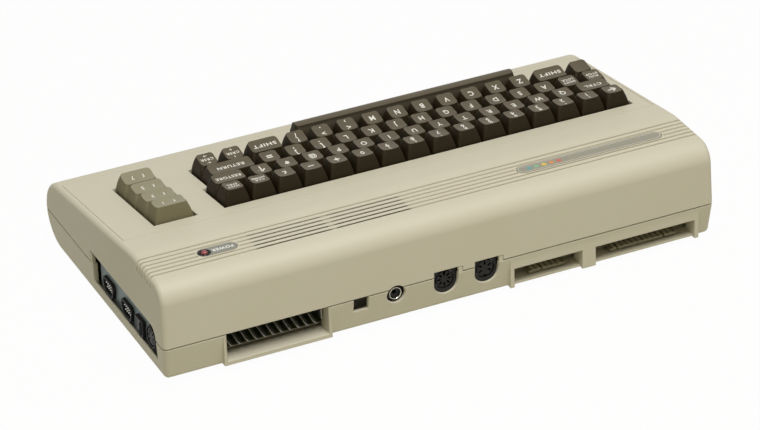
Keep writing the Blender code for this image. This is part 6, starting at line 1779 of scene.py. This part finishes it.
def camera():
    """The camera at the photograph's viewpoint."""
    azimuth, elevation = math.radians(CAMERA_AZIMUTH), math.radians(CAMERA_ELEVATION)
    back = Vector((math.sin(azimuth) * math.cos(elevation), -math.cos(azimuth) * math.cos(elevation),
                   math.sin(elevation)))
    right = (-back).cross(Vector((0, 0, 1))).normalized()
    up = right.cross(-back)
    roll = math.radians(CAMERA_ROLL)
    rolled_right = right * math.cos(roll) + up * math.sin(roll)
    rolled_up = up * math.cos(roll) - right * math.sin(roll)
    eye = bpy.data.objects.new("camera", bpy.data.cameras.new("camera"))
    bpy.context.scene.collection.objects.link(eye)
    eye.matrix_world = Matrix((
        (rolled_right.x, rolled_up.x, back.x, CAMERA_PLACE[0]),
        (rolled_right.y, rolled_up.y, back.y, CAMERA_PLACE[1]),
        (rolled_right.z, rolled_up.z, back.z, CAMERA_PLACE[2]),
        (0, 0, 0, 1),
    ))
    eye.data.lens = CAMERA_LENS
    eye.data.sensor_width = CAMERA_SENSOR
    bpy.context.scene.camera = eye


def seen_background(tree):
    """1 for the rays that show the background itself: camera, mirror and see-through rays."""
    path = add_node(tree, "ShaderNodeLightPath")
    either = add_node(tree, "ShaderNodeMath",
                      {0: path.outputs["Is Camera Ray"], 1: path.outputs["Is Glossy Ray"]}, operation="MAXIMUM")
    return add_node(tree, "ShaderNodeMath", {0: either.outputs[0], 1: path.outputs["Is Transmission Ray"]},
                    operation="MAXIMUM").outputs[0]


def light():
    """A plain sky, one large soft lamp above the rear, and a white floor that keeps the shadow."""
    scene = bpy.context.scene
    scene.view_settings.view_transform = "Standard"
    world = bpy.data.worlds.new("studio")
    scene.world = world
    world.use_nodes = True
    tree = world.node_tree
    tree.nodes.clear()
    fill = add_node(tree, "ShaderNodeBackground", {"Color": linear(SKY_COLOUR), "Strength": SKY_STRENGTH})
    white = add_node(tree, "ShaderNodeBackground", {"Color": (1, 1, 1, 1), "Strength": 1})
    either = add_node(tree, "ShaderNodeMixShader", {0: seen_background(tree), 1: fill.outputs[0], 2: white.outputs[0]})
    add_node(tree, "ShaderNodeOutputWorld", {0: either.outputs[0]})

    lamp = bpy.data.lights.new("softbox", "AREA")
    lamp.shape = "DISK"
    lamp.size = KEY_SIZE
    lamp.energy = KEY_POWER
    holder = bpy.data.objects.new("softbox", lamp)
    scene.collection.objects.link(holder)
    holder.location = KEY_PLACE
    holder.rotation_euler = Vector(KEY_PLACE).to_track_quat("Z", "Y").to_euler()

    form = bmesh.new()
    form.faces.new([form.verts.new((x, y, 0)) for x, y in circle(FLOOR_RADIUS, 64)])
    floor = work_object("floor", to_mesh(form, "floor"))
    paper = bpy.data.materials.new("white_paper_floor")
    paper.use_nodes = True
    tree = paper.node_tree
    tree.nodes.clear()
    matt = add_node(tree, "ShaderNodeBsdfDiffuse", {"Color": linear(FLOOR_COLOUR)})
    glow = add_node(tree, "ShaderNodeEmission", {"Color": (1, 1, 1, 1), "Strength": 1})
    share = add_node(tree, "ShaderNodeMath", {0: seen_background(tree), 1: FLOOR_GLOW_SHARE}, operation="MULTIPLY")
    mixed = add_node(tree, "ShaderNodeMixShader", {0: share.outputs[0], 1: matt.outputs[0], 2: glow.outputs[0]})
    add_node(tree, "ShaderNodeOutputMaterial", {0: mixed.outputs[0]})
    floor.data.materials.append(paper)


CARRIED = {"main_board": BOARD_LAMINATE, "keyboard_board": BOARD_LAMINATE}


def carried_nodes():
    """Give the solids that keep their shape their finish."""
    for name, material in CARRIED.items():
        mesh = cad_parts[name].data
        mesh.materials.clear()
        mesh.materials.append(material)


camera()
light()
upper_case()
lower_case()
keyboard()
side_plate()
for number, place in enumerate(PORT_CENTRES, start=1):
    nine_pin_port(f"joystick_port_{number}", place)
rocker_switch()
power_socket()
rear_sockets()
modulator()
cartridge_shield()
card_contacts()
badge_and_label()
lamp()
feet_and_screws()
carried_nodes()
